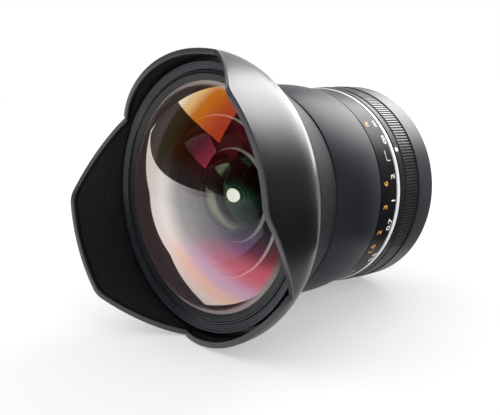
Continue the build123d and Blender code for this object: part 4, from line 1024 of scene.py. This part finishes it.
@dataclass
class FocusRing:
    """The waisted focus ring and the distance scale that turns with it."""

    waist_depth: float = 0.95 * MM
    waist_steps: int = 24
    waist_edge: float = 0.15 * MM
    bore: float = 34.3 * MM
    tongue: float = 0.7 * MM
    gap: float = 0.02 * MM
    seam: float = 0.3 * MM
    chamfer: float = 0.4 * MM
    scale_edge: float = 0.2 * MM
    stretch: float = 1.25
    bolder: float = 0.055 * MM
    print_steps: int = 4
    print_lift: float = 0.01 * MM
    print_height: float = 0.025 * MM
    line_width: float = 0.3 * MM
    hook_station: float = 23.9 * MM
    hook_angle: float = 5.6
    hook_rise: float = 1.9 * MM
    hook_middle: float = 0.85 * MM
    hook_bend: float = 1.8 * MM
    hook_cuts: int = 6
    marks: tuple[Mark, ...] = (
        Mark("ft", 28.3 * MM, 16.7, Ink.ORANGE),
        Mark("m", 23.9 * MM, 17.0),
        Mark("8", 23.5 * MM, 6.8, turned=True, size=3.7 * MM),
        Mark("2", 24.0 * MM, -14.5),
        Mark("1", 23.9 * MM, -27.6),
        Mark("0.7", 23.7 * MM, -41.4),
        Mark("0.5", 23.5 * MM, -64.0),
        Mark("0.4", 23.7 * MM, -88.0),
        Mark("0.3", 23.7 * MM, -147.0),
        Mark("6", 28.2 * MM, -18.0, Ink.ORANGE),
        Mark("3", 28.1 * MM, -30.7, Ink.ORANGE),
        Mark("2", 28.1 * MM, -45.4, Ink.ORANGE),
        Mark("1.5", 27.9 * MM, -56.6, Ink.ORANGE),
        Mark("1.2", 27.6 * MM, -78.5, Ink.ORANGE),
        Mark("1", 27.9 * MM, -142.0, Ink.ORANGE),
    )
    ring: Span = span_of("focus_ring")
    scale: Span = span_of("scale_ring")

    def waist(self) -> Object:
        """Turns the focus ring, whose outline is a shallow arc, with the tongue that the scale sits on."""
        start, end, rear = self.scale.front + self.seam, self.ring.front, self.ring.rear
        half = (end - start) / 2 - self.chamfer
        rise = self.waist_depth
        curve = (half * half + rise * rise) / (2 * rise)
        swing = math.degrees(math.asin(half / curve))
        low = self.ring.radius - rise
        tongue = self.bore + self.tongue
        lathe = Lathe().at((rear, self.bore), (rear, tongue), (start, tongue))
        lathe.at((start, low - self.chamfer), (start + self.chamfer, low))
        lathe.arc((start + end) / 2, self.ring.radius - curve, -2 * swing, self.waist_steps)
        return lathe.at((end, low - self.chamfer), (end, self.bore)).turned("focus_waist", self.waist_edge)

    def scale_band(self) -> Object:
        """Turns the scale ring, which is recessed for the focus ring's tongue."""
        start, end, radius = self.scale.rear, self.scale.front, self.scale.radius
        recess, step = self.bore + self.tongue + self.gap, self.ring.rear - self.gap
        lathe = Lathe().at((start, self.bore), (start, radius), (end, radius))
        lathe.at((end, recess), (step, recess), (step, self.bore))
        return lathe.turned("distance_scale", self.scale_edge)

    def number(self, mark: Mark, count: int) -> Object:
        """Prints a number.

        Args:
            mark: What it says and where.
            count: Its place in the list.

        Returns:
            The piece.
        """
        text = bpy.data.curves.new("mark", "FONT")
        text.body = mark.text
        text.size = mark.size
        text.align_x = text.align_y = "CENTER"
        text.extrude = self.print_height / 2
        text.offset = self.bolder
        text.resolution_u = self.print_steps
        writer = bpy.data.objects.new("mark", text)
        flat = bpy.data.meshes.new_from_object(writer)
        bpy.data.objects.remove(writer)
        bm = bmesh.new()
        bm.from_mesh(flat)
        bpy.data.meshes.remove(flat)
        bmesh.ops.remove_doubles(bm, verts=bm.verts, dist=SMALLEST)
        turn = Matrix.Rotation(math.radians(90.0), 3, "Z") if mark.turned else Matrix.Identity(3)
        wider = Matrix.Diagonal((self.stretch, 1.0, 1.0)).to_3x3()
        bmesh.ops.transform(bm, matrix=wider @ turn, verts=bm.verts)
        bmesh.ops.translate(bm, vec=(0.0, 0.0, self.print_lift + self.print_height / 2), verts=bm.verts)
        wrap(bm, mark.station, mark.angle, self.scale.radius)
        return finished(bm, f"scale_mark_{count:02d}")

    def hook(self) -> Object:
        """Prints the bent line beside the index mark."""
        bm = bmesh.new()
        reach = math.radians(self.hook_angle) * self.scale.radius
        for width, height, across, along in (
            (self.line_width, self.hook_rise, -reach, self.hook_middle),
            (reach, self.line_width, -reach / 2, self.hook_bend),
        ):
            made = bmesh.ops.create_cube(bm, size=1.0)["verts"]
            bmesh.ops.scale(bm, vec=(width, height, self.print_height), verts=made)
            lift = self.print_lift + self.print_height / 2
            bmesh.ops.translate(bm, vec=(across, along, lift), verts=made)
        long_edges = [edge for edge in bm.edges if edge.calc_length() > self.hook_rise / 2]
        bmesh.ops.subdivide_edges(bm, edges=long_edges, cuts=self.hook_cuts, use_grid_fill=True)
        wrap(bm, self.hook_station, 0.0, self.scale.radius)
        return finished(bm, "scale_hook")

    def build(self) -> None:
        """Builds and dresses the ring, the scale and its print."""
        waist = Anodised("waist_satin", (0.012, 0.013, 0.019), 0.42, gloss=0.12, turned=0.001 * MM)
        band = Anodised("scale_black", (0.004, 0.004, 0.005), 0.36, gloss=0.1)
        inks = {
            Ink.WHITE: Plain(Ink.WHITE.value, (0.85, 0.86, 0.86), 0.5).material(),
            Ink.ORANGE: Plain(Ink.ORANGE.value, (0.80, 0.36, 0.05), 0.5).material(),
        }
        place(self.waist(), "focus_ring", "ring_paint", waist.material(), "focus_ring")
        place(self.scale_band(), "focus_ring", "ring_paint", band.material(), "scale_ring")
        place(self.hook(), "focus_ring", "white_ring", inks[Ink.WHITE])
        for count, mark in enumerate(self.marks, start=1):
            place(self.number(mark, count), "focus_ring", "white_ring", inks[mark.ink])


@dataclass
class RearBarrel:
    """The plain rear barrel, the ribbed grip, the index band with its dot and the white ring."""

    seat: float = 35.02 * MM
    gap: float = 0.02 * MM
    wall: float = 2.2 * MM
    chamfer: float = 0.5 * MM
    tuck: float = 0.08 * MM
    tube_edge: float = 0.14 * MM
    band_edge: float = 0.18 * MM
    ribs: int = 208
    rib_depth: float = 0.45 * MM
    rib_top: float = 0.5
    rib_foot: float = 0.84
    rib_end: float = 0.35 * MM
    rib_merge: float = 0.002 * MM
    grip_start: float = 1.0 * MM
    flange: float = 32.25 * MM
    flange_depth: float = 1.4 * MM
    web: float = 2.0 * MM
    web_bore: float = 26.0 * MM
    dot_radius: float = 0.85 * MM
    dot_steps: int = 40
    dot_rise: float = 0.06 * MM
    dot_sink: float = 0.04 * MM
    dot_shift: float = 0.3 * MM
    barrel: Span = span_of("rear_barrel")
    grip: Span = span_of("grip_ring")
    index: Span = span_of("index_ring")
    accent: Span = span_of("accent_ring")

    def tube(self) -> Object:
        """Turns the rear barrel with the seat of its rings."""
        start, end, radius = self.barrel.rear, self.barrel.front, self.barrel.radius
        step = self.grip.rear + self.grip_start - self.tuck
        seat = self.seat - self.gap
        web = start + self.flange_depth
        lathe = Lathe().at((start, self.flange), (start, radius - self.chamfer), (start + self.chamfer, radius))
        lathe.at((step, radius), (step, seat), (end, seat), (end, seat - self.wall))
        lathe.at((web + self.web, seat - self.wall), (web + self.web, self.web_bore))
        return lathe.at((web, self.web_bore), (web, self.flange)).turned("rear_tube", self.tube_edge)

    def grip_band(self) -> Object:
        """Draws one rib out along the axis and copies it round."""
        bm = bmesh.new()
        pitch = 360.0 / self.ribs
        rear, front = self.grip.rear + self.grip_start, self.grip.front
        foot, top = self.grip.radius - self.rib_depth, self.grip.radius
        side, crest = self.rib_foot / 2, self.rib_top / 2
        across = ((-side, 0.0), (-crest, 1.0), (crest, 1.0), (side, 0.0), (1.0 - side, 0.0))
        rows = ((rear, 0.0), (rear + self.rib_end, 1.0), (front - self.rib_end, 1.0), (front, 0.0))
        low = [bm.verts.new(spot(rear, self.seat, turn * pitch)) for turn, _ in across]
        chain = [bm.edges.new(pair) for pair in zip(low, low[1:])]
        for station, height in rows:
            grown = bmesh.ops.extrude_edge_only(bm, edges=chain)["geom"]
            chain = pick(BMEdge, grown)
            for vert in pick(BMVert, grown):
                turn = (angle_of(vert.co) + 180.0) % 360.0 - 180.0
                rise = min(across, key=lambda point: abs(point[0] * pitch - turn))[1]
                vert.co = spot(station, foot + (top - foot) * rise * height, turn)
        grown = bmesh.ops.extrude_edge_only(bm, edges=chain)["geom"]
        for vert in pick(BMVert, grown):
            vert.co = spot(front, self.seat, angle_of(vert.co))
        first = [edge for edge in bm.edges if set(edge.verts) <= set(low)]
        bmesh.ops.bridge_loops(bm, edges=[*pick(BMEdge, grown), *first])
        bmesh.ops.spin(
            bm, geom=[*bm.verts, *bm.edges, *bm.faces], cent=Vector(), axis=FORWARD,
            angle=math.tau * (self.ribs - 1) / self.ribs, steps=self.ribs - 1, use_duplicate=True,
        )
        bmesh.ops.remove_doubles(bm, verts=bm.verts, dist=self.rib_merge)
        bmesh.ops.recalc_face_normals(bm, faces=bm.faces)
        return finished(bm, "ribbed_grip")

    def band(self, name: str, span: Span) -> Object:
        """Turns a plain band, by its name and where it lies."""
        lathe = Lathe().at((span.rear, self.seat), (span.rear, span.radius), (span.front, span.radius))
        return lathe.at((span.front, self.seat)).turned(name, self.band_edge)

    def dot(self) -> Object:
        """Makes the index mark, a round dot set in the index band."""
        bm = bmesh.new()
        made = bmesh.ops.create_circle(bm, cap_ends=True, radius=self.dot_radius, segments=self.dot_steps)
        raised = bmesh.ops.extrude_face_region(bm, geom=list(bm.faces))["geom"]
        bmesh.ops.translate(bm, vec=(0.0, 0.0, self.dot_rise), verts=pick(BMVert, raised))
        bmesh.ops.translate(bm, vec=(0.0, 0.0, -self.dot_sink), verts=made["verts"])
        middle = (self.index.rear + self.index.front) / 2 + self.dot_shift
        wrap(bm, middle, 0.0, self.index.radius)
        return finished(bm, "index_dot")

    def build(self) -> None:
        """Builds and dresses the rear pieces."""
        satin = Anodised("rear_satin", (0.018, 0.0185, 0.023), 0.42, gloss=0.3, turned=0.001 * MM)
        ribbed = Anodised("grip_satin", (0.014, 0.0145, 0.017), 0.36, gloss=0.45)
        smooth = Anodised("index_satin", (0.010, 0.0105, 0.013), 0.38, gloss=0.14)
        white = Plain("white_enamel", (0.86, 0.87, 0.88), 0.32).material()
        place(self.tube(), "barrel", "barrel_paint", satin.material(), "rear_barrel")
        place(self.grip_band(), "barrel", "barrel_paint", ribbed.material(), "grip_ring")
        place(self.band("index_band", self.index), "barrel", "barrel_paint", smooth.material(), "index_ring")
        place(self.band("white_band", self.accent), "barrel", "white_ring", white, "accent_ring")
        place(self.dot(), "barrel", "white_ring", white)


class Face(IntEnum):
    """Material slots of an element."""

    FRONT = 0
    REAR = 1
    RIM = 2
    CHAMFER = 3


@dataclass(frozen=True)
class Element:
    """A glass element in millimetres: surface radii, negative where hollow to the front, and clear radii."""

    number: int
    front: float
    rear: float
    thickness: float
    clear: float
    rear_clear: float
    front_coat: Coating
    rear_coat: Coating | PaintedStopGlow
    body: str = "focus_group"
    steps: int = 96


# The upper, middle and lower tints of each coat are painted reflection colours, set by height on the glass
FRONT_COAT = Coating(
    "front_coat",
    upper=((0.13, (0.64, 0.04, 0.016)), (0.2, (0.51, 0.06, 0.02)), (0.357, (0.47, 0.13, 0.006)),
           (0.46, (0.66, 0.42, 0.17)), (0.58, (0.85, 0.78, 0.62))),
    middle=((0.1, (0.14, 0.12, 0.15)), (0.3, (0.38, 0.37, 0.36)), (0.45, (0.88, 0.80, 0.76)),
            (0.58, (0.86, 0.74, 0.69))),
    lower=((0.1, (1.0, 0.08, 0.16)), (0.2, (1.0, 0.20, 0.28)), (0.34, (0.74, 0.46, 0.62)),
           (0.43, (1.0, 0.62, 0.5)), (0.58, (1.0, 0.85, 0.78))),
    shares=((0.03, 0.01), (0.1, 0.15), (0.2, 0.5), (0.357, 0.78), (0.45, 0.78), (0.6, 0.66)),
    painted_upper_band=(8.0 * MM, 16.0 * MM),
    edge=Edge(35.6 * MM, 37.2 * MM, (0.55, 0.47, 0.46), 0.12),
)
VIOLET_COAT = Coating(
    "violet_coat",
    upper=((0.05, (0.9, 0.08, 0.10)), (0.3, (0.9, 0.12, 0.25)), (0.6, (0.6, 0.5, 0.6))),
    middle=((0.1, (0.3, 0.3, 0.35)), (0.6, (0.9, 0.9, 0.9))),
    lower=((0.1, (0.35, 0.15, 0.90)), (0.35, (0.50, 0.42, 1.0)), (0.6, (0.8, 0.75, 1.0))),
    shares=((0.03, 0.05), (0.2, 0.45), (0.6, 0.6)),
)
RUBY_COAT = Coating(
    "ruby_coat",
    upper=((0.05, (0.8, 0.06, 0.10)), (0.5, (0.9, 0.3, 0.3))),
    middle=((0.05, (0.10, 0.06, 0.08)), (0.5, (0.4, 0.4, 0.4))),
    lower=((0.05, (0.3, 0.06, 0.2)), (0.5, (0.5, 0.3, 0.6))),
    shares=((0.03, 0.04), (0.4, 0.12)),
)
PALE_COAT = Coating(
    "pale_green_coat",
    upper=((0.05, (0.1, 0.3, 0.15)), (0.4, (0.4, 0.5, 0.3))),
    middle=((0.05, (0.2, 0.3, 0.15)), (0.4, (0.85, 0.95, 0.6))),
    lower=((0.05, (0.10, 0.2, 0.15)), (0.4, (0.4, 0.5, 0.5))),
    shares=((0.03, 0.005), (0.2, 0.04), (0.32, 0.6), (0.6, 0.78)),
)
GREEN_COAT = Coating(
    "green_coat",
    upper=((0.05, (0.05, 0.5, 0.2)), (0.5, (0.3, 0.7, 0.4))),
    middle=((0.05, (0.05, 0.4, 0.2)), (0.5, (0.4, 0.7, 0.5))),
    lower=((0.05, (0.05, 0.3, 0.2)), (0.5, (0.3, 0.5, 0.5))),
    shares=((0.03, 0.02), (0.4, 0.10)),
)
CEMENT_TINT = ((0.05, (0.1, 0.2, 0.15)), (0.5, (0.3, 0.4, 0.35)))
CEMENT_COAT = Coating("cemented_face", CEMENT_TINT, CEMENT_TINT, CEMENT_TINT, ((0.03, 0.005), (0.5, 0.02)))
PAINTED_STOP_GLOW = PaintedStopGlow("painted_stop_glow")


@dataclass
class Glass:
    """The elements, each a spun solid with a coat on each face and a black rim."""

    chamfer: float = 0.5 * MM
    faceting: float = 0.02 * MM
    front_steps: int = 40
    rear_steps: int = 32
    elements: tuple[Element, ...] = (
        Element(1, 57.0, 30.0, 3.3, 38.0, 27.0, FRONT_COAT, VIOLET_COAT, "barrel", 240),
        Element(2, 36.0, 17.5, 2.5, 23.5, 16.0, RUBY_COAT, PALE_COAT, "barrel", 192),
        Element(3, 28.0, 12.5, 1.8, 15.5, 11.0, GREEN_COAT, PAINTED_STOP_GLOW, "barrel", 144),
        Element(4, -40.0, 18.0, 1.2, 10.5, 11.5, GREEN_COAT, CEMENT_COAT, "barrel"),
        Element(5, 18.0, -45.0, 6.78, 11.5, 11.5, CEMENT_COAT, GREEN_COAT, "barrel"),
        Element(6, 22.0, -30.0, 3.5, 7.8, 7.8, GREEN_COAT, GREEN_COAT),
        Element(7, -25.0, 13.0, 1.2, 8.0, 8.5, GREEN_COAT, CEMENT_COAT),
        Element(8, 13.0, -26.0, 5.48, 8.5, 8.5, CEMENT_COAT, GREEN_COAT),
        Element(9, 40.0, -28.0, 3.5, 9.3, 9.3, GREEN_COAT, GREEN_COAT),
        Element(10, -35.0, 17.0, 1.2, 10.0, 11.0, GREEN_COAT, CEMENT_COAT),
        Element(11, 17.0, -24.0, 7.38, 11.0, 11.0, CEMENT_COAT, GREEN_COAT),
        Element(12, 60.0, -60.0, 3.8, 12.2, 12.2, GREEN_COAT, GREEN_COAT),
        Element(13, -50.0, -200.0, 1.4, 12.5, 13.0, GREEN_COAT, GREEN_COAT),
    )

    def on_surface(self, point: Pair, vertex: float, curve: float) -> bool:
        """Whether a station and radius lie on a surface, by its vertex and its radius of curvature."""
        return abs(math.dist(point, (vertex - curve, 0.0)) - abs(curve)) < self.faceting

    def glass(self, element: Element, inks: tuple[Material, ...]) -> Object:
        """Turns an element.

        Args:
            element: Its sizes.
            inks: Materials of its front, its rear, its rim and its chamfer.

        Returns:
            The piece.
        """
        name = f"{element.number:02d}"
        span = Span.of(f"element_{name}")
        front, rear, clear, rear_clear = (
            value * MM for value in (element.front, element.rear, element.clear, element.rear_clear)
        )
        swing, rear_swing = math.asin(clear / front), math.asin(rear_clear / rear)
        sag, rear_sag = front * (1.0 - math.cos(swing)), rear * (1.0 - math.cos(rear_swing))
        vertex = span.front + min(sag, 0.0)
        rear_vertex = vertex - element.thickness * MM
        lathe = Lathe().at((vertex, 0.0)).arc(vertex - front, 0.0, math.degrees(swing), self.front_steps)
        if span.radius - clear > LEVEL:
            lathe.at((vertex - sag, span.radius))
        if span.radius - rear_clear > LEVEL:
            lathe.at((rear_vertex - rear_sag, span.radius))
        lathe.at((rear_vertex - rear_sag, rear_clear))
        lathe.arc(rear_vertex - rear, 0.0, -math.degrees(rear_swing), self.rear_steps).spin(element.steps)
        piece = finished(lathe.bm, f"glass_{name}")
        for ink in inks:
            piece.data.materials.append(ink)
        for face in piece.data.polygons:
            radius = distance_from_axis(face.center)
            point = (-face.center.y, radius)
            if self.on_surface(point, vertex, front) and radius < clear:
                face.material_index = Face.FRONT
            elif self.on_surface(point, rear_vertex, rear) and radius < rear_clear:
                bevelled = radius > rear_clear - self.chamfer and element.body == "barrel"
                face.material_index = Face.CHAMFER if bevelled else Face.REAR
            else:
                face.material_index = Face.RIM
        return piece

    def build(self) -> None:
        """Builds and dresses the elements."""
        rim = RimInk("rim_ink").material()
        chamfer = Plain("ground_chamfer", (0.85, 0.80, 0.78), 0.5).material()
        coats: dict[str, Material] = {}
        for element in self.elements:
            for coat in (element.front_coat, element.rear_coat):
                if coat.name not in coats:
                    coats[coat.name] = coat.material()
            inks = (coats[element.front_coat.name], coats[element.rear_coat.name], rim, chamfer)
            place(self.glass(element, inks), element.body, "glass", inks[0], f"element_{element.number:02d}")


@dataclass(frozen=True)
class Lamp:
    """A soft light in a plane that faces the lens.

    It has degrees to the right of the camera's heading, degrees above the floor, metres from the lens to
    the plane, width and height, watts, how far it is moved in the plane, across and up, and what shows it.
    """

    name: str
    azimuth: float
    elevation: float
    away: float
    size: Pair
    power: float
    shift: Pair = (0.0, 0.0)
    glossy: bool = True
    diffuse: bool = True


@dataclass
class Studio:
    """Camera, floor, lights, dark cloths and white surroundings."""

    camera_place: Vector = field(default_factory=lambda: Vector((178.51, -236.89, 36.07)) * MM)
    azimuth: float = -44.749
    elevation: float = -9.185
    roll: float = -1.419
    focal_length: float = 54.0
    sensor: float = 36.0
    hood_low: Vector = field(default_factory=lambda: Vector((0.0, -81.0, -47.5)) * MM)
    barrel_low: Vector = field(default_factory=lambda: Vector((0.0, -1.0, -36.8)) * MM)
    middle: Vector = field(default_factory=lambda: Vector((0.0, -60.0, 0.0)) * MM)
    floor_size: float = 6.0
    floor_colour: Colour = (0.86, 0.86, 0.865)
    floor_white: float = 0.42
    floor_fade: Pair = (0.15, 0.9)
    world_level: float = 0.9
    cloth_away: float = 3.0
    cloth_steps: tuple[int, int] = (12, 48)
    cloth_rough: float = 0.9
    cloth_grain: float = 40.0
    card_steps: int = 24
    card_lift: float = MM
    card_grey: float = 0.01
    lamps: tuple[Lamp, ...] = (
        Lamp("left_softbox", -90.0, 0.0, 0.9, (1.45, 0.86), 4.7, shift=(-0.21, 1.14)),
        Lamp("rear_softbox", 46.0, 40.0, 1.1, (0.7, 0.42), 4.0),
        Lamp("right_fill", 130.0, 35.0, 1.3, (1.0, 0.6), 3.0, glossy=False),
        Lamp("overhead_fill", -60.0, 70.0, 1.4, (1.2, 1.2), 3.0, glossy=False),
        Lamp("sheen_card", 50.0, 32.0, 1.0, (0.72, 0.56), 10.0, diffuse=False),
        Lamp("back_strip", 36.0, 6.0, 1.2, (0.8, 0.44), 4.5, diffuse=False),
    )

    def tilt(self) -> Matrix:
        """The rotation from level to the floor that the lens lies on."""
        along = self.barrel_low - self.hood_low
        return Matrix.Rotation(math.atan2(along.z, along.y), 3, "X")

    def up(self) -> Vector:
        """The direction away from the floor."""
        return self.tilt() @ Vector((0.0, 0.0, 1.0))

    def direction(self, azimuth: float, elevation: float) -> Vector:
        """A direction seen from the lens.

        Args:
            azimuth: Degrees to the right of the camera's heading.
            elevation: Degrees above the floor.

        Returns:
            The unit vector.
        """
        heading = math.radians(self.azimuth + azimuth)
        rise = math.radians(elevation)
        level = Vector((math.sin(heading), math.cos(heading), 0.0))
        return self.tilt() @ (level * math.cos(rise) + Vector((0.0, 0.0, math.sin(rise))))

    def put(self, name: str, data: bpy.types.ID) -> Object:
        """Adds an object with its data to the scene."""
        added = bpy.data.objects.new(name, data)
        bpy.context.scene.collection.objects.link(added)
        return added

    def camera(self) -> None:
        """Makes the camera."""
        data = bpy.data.cameras.new("camera")
        data.lens = self.focal_length
        data.sensor_width = self.sensor
        data.clip_start = MM
        holder = self.put("camera", data)
        turn = (
            Matrix.Rotation(math.radians(-self.azimuth), 4, "Z")
            @ Matrix.Rotation(math.radians(90.0 + self.elevation), 4, "X")
            @ Matrix.Rotation(math.radians(-self.roll), 4, "Z")
        )
        holder.matrix_world = Matrix.Translation(self.camera_place) @ turn
        bpy.context.scene.camera = holder

    def staged(self, bm: BMesh, name: str, finish: Material) -> Object:
        """Makes an object of the stage.

        Args:
            bm: Its bmesh, which is freed.
            name: Its name.
            finish: Its material.

        Returns:
            The object.
        """
        mesh = bpy.data.meshes.new(name)
        bm.to_mesh(mesh)
        bm.free()
        mesh.materials.append(finish)
        thing = self.put(name, mesh)
        return thing

    def floor(self) -> None:
        """Makes the floor, which fades into the white background."""
        bm = bmesh.new()
        bmesh.ops.create_grid(bm, x_segments=1, y_segments=1, size=self.floor_size)
        laid = Matrix.Translation(self.hood_low) @ self.tilt().to_4x4()
        bmesh.ops.transform(bm, matrix=laid, verts=bm.verts)
        graph = Graph(bpy.data.materials.new("floor_paper"))
        away = graph.node("ShaderNodeVectorMath", graph.coordinates()[0], operation="LENGTH")
        faded = graph.between(away.outputs["Value"], *self.floor_fade)
        far = graph.maths("MAXIMUM", faded, self.floor_white)
        share = graph.maths("MULTIPLY", graph.seen(), far)
        paper = graph.node("ShaderNodeBsdfDiffuse", self.floor_colour).outputs[0]
        white = graph.node("ShaderNodeEmission").outputs[0]
        mixed = graph.node("ShaderNodeMixShader", share, paper, white).outputs[0]
        self.staged(bm, "floor", graph.end(mixed))

    def softbox(self, lamp: Lamp) -> None:
        """Adds a lamp.

        Args:
            lamp: Its values.
        """
        data = bpy.data.lights.new(lamp.name, "AREA")
        data.shape = "RECTANGLE"
        data.size, data.size_y = lamp.size
        data.energy = lamp.power
        light = self.put(lamp.name, data)
        out = self.direction(lamp.azimuth, lamp.elevation)
        facing = out.to_track_quat("Z", "Y").to_matrix().to_4x4()
        moved = Matrix.Translation((*lamp.shift, 0.0))
        light.matrix_world = Matrix.Translation(self.middle + out * lamp.away) @ facing @ moved
        light.visible_camera = False
        light.visible_glossy = lamp.glossy
        light.visible_diffuse = lamp.diffuse

    def curtain(self, name: str, azimuths: Pair, elevations: Pair, grey: float) -> None:
        """Hangs a dark curtain round part of the lens.

        Args:
            name: Its name.
            azimuths: From and to, in degrees to the right of the camera's heading.
            elevations: Its lower and upper edge, in degrees above the floor.
            grey: Its grey.
        """
        bm = bmesh.new()
        low = self.direction(azimuths[0], elevations[0]) * self.cloth_away
        bm.verts.new(self.middle + low)
        bmesh.ops.spin(
            bm, geom=list(bm.verts), cent=self.middle, axis=low.cross(self.up()).normalized(),
            angle=math.radians(elevations[1] - elevations[0]), steps=self.cloth_steps[0],
        )
        self.hang(bm, name, self.middle, azimuths, self.cloth_steps[1], grey)

    def dark_card(self, name: str, azimuths: Pair, reach: Pair) -> None:
        """Lays a dark card on the floor.

        Args:
            name: Its name.
            azimuths: From and to, in degrees to the right of the camera's heading.
            reach: Metres from the lens to its near and its far edge.
        """
        foot = self.middle - self.up() * ((self.middle - self.hood_low).dot(self.up()) - self.card_lift)
        bm = bmesh.new()
        bm.edges.new([bm.verts.new(foot + self.direction(azimuths[0], 0.0) * distance) for distance in reach])
        self.hang(bm, name, foot, azimuths, self.card_steps, self.card_grey)

    def hang(self, bm: BMesh, name: str, centre: Vector, azimuths: Pair, steps: int, grey: float) -> None:
        """Spins an edge to dark cloth, which only glossy surfaces show.

        Args:
            bm: The edge, which is freed.
            name: The cloth's name.
            centre: What it is spun about.
            azimuths: From and to, in degrees.
            steps: Steps of the spin.
            grey: The cloth's grey.
        """
        bmesh.ops.spin(
            bm, geom=[*bm.verts, *bm.edges], cent=centre, axis=-self.up(),
            angle=math.radians(azimuths[1] - azimuths[0]), steps=steps,
        )
        finish = Plain(name + "_cloth", (grey, grey, grey), self.cloth_rough, grain=self.cloth_grain)
        cloth = self.staged(bm, name, finish.material())
        cloth.visible_camera = cloth.visible_diffuse = cloth.visible_shadow = False

    def world(self) -> None:
        """Makes the white surroundings, a little darker where they only light the lens."""
        world = bpy.data.worlds.new("white")
        bpy.context.scene.world = world
        graph = Graph(world)
        level = graph.node("ShaderNodeMapRange", graph.seen(), 0.0, 1.0, self.world_level, 1.0)
        background = graph.node("ShaderNodeBackground", (1.0, 1.0, 1.0), level.outputs["Result"])
        graph.end(background.outputs[0], "ShaderNodeOutputWorld")

    def build(self) -> None:
        """Makes the whole studio."""
        self.camera()
        self.floor()
        self.world()
        for lamp in self.lamps:
            self.softbox(lamp)
        self.curtain("dark_curtain", (-190.0, -38.0), (7.0, 88.0), grey=0.05)
        self.curtain("dark_side", (68.0, 170.0), (0.0, 88.0), grey=0.01)
        self.dark_card("dark_card", (70.0, 160.0), (0.07, 1.6))
        bpy.context.scene.view_settings.view_transform = "Standard"


def dress_inner_parts() -> None:
    """Gives every node its finish, and soft edges to those that show at the mount."""
    slots = {part["node"]: part["material_slot"] for part in frame["record"]["subparts"]}
    cell = Anodised("cell_black", (0.004, 0.004, 0.005), 0.55, gloss=0.25, depth=0.002 * MM)
    finishes = {
        "brass": TurnedMetal("gilt_brass", (0.83, 0.62, 0.28), 0.26, pitch=0.3 * MM),
        "screw_steel": TurnedMetal("screw_steel", (0.30, 0.30, 0.31), 0.32, pitch=0.3 * MM),
        "mount_chrome": TurnedMetal("satin_chrome", (0.72, 0.72, 0.73), 0.24),
        "board": Plain("board_green", (0.03, 0.12, 0.06), 0.45),
        "felt": Plain("black_felt", (0.010, 0.010, 0.010), 0.95, grain=6000.0, depth=0.05 * MM),
        "black_plastic": Plain("black_plastic", (0.012, 0.012, 0.013), 0.5),
        "iris_metal": TurnedMetal("blade_black", (0.05, 0.05, 0.052), 0.45, metallic=0.6),
        "iris_body": cell,
        "cell_alloy": cell,
        "glass": GREEN_COAT,
    }
    fallback = Anodised("inner_black")
    bevelled = {
        "bayonet_mount": 0.12 * MM, "contact_block": 0.1 * MM, "rear_baffle": 0.12 * MM,
        "mount_screws": 0.06 * MM, "contact_pins": 0.08 * MM,
    }
    built: dict[str, Material] = {}
    for name, node in frame["nodes"].items():
        finish = finishes.get(slots[name], fallback)
        if finish.name not in built:
            built[finish.name] = finish.material()
        node.data.materials.clear()
        node.data.materials.append(built[finish.name])
        if name in bevelled:
            weld = node.modifiers.new("weld", "WELD")
            weld.merge_threshold = LEVEL
            bevel = node.modifiers.new("soft_edges", "BEVEL")
            bevel.width = bevelled[name]
            bevel.segments = 2
            bevel.limit_method = "ANGLE"
            bevel.angle_limit = math.radians(SHARP_ANGLE)
            bevel.harden_normals = True
    log.info("%d nodes dressed", len(frame["nodes"]))


def main() -> None:
    """Builds the scene."""
    logging.basicConfig(level=logging.INFO, format="%(message)s")
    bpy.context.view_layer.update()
    Studio().build()
    dress_inner_parts()
    for assembly in (PetalHood(), FrontRings(), FrontBarrel(), FocusRing(), RearBarrel(), Glass()):
        assembly.build()


if __name__ == "__main__":
    main()
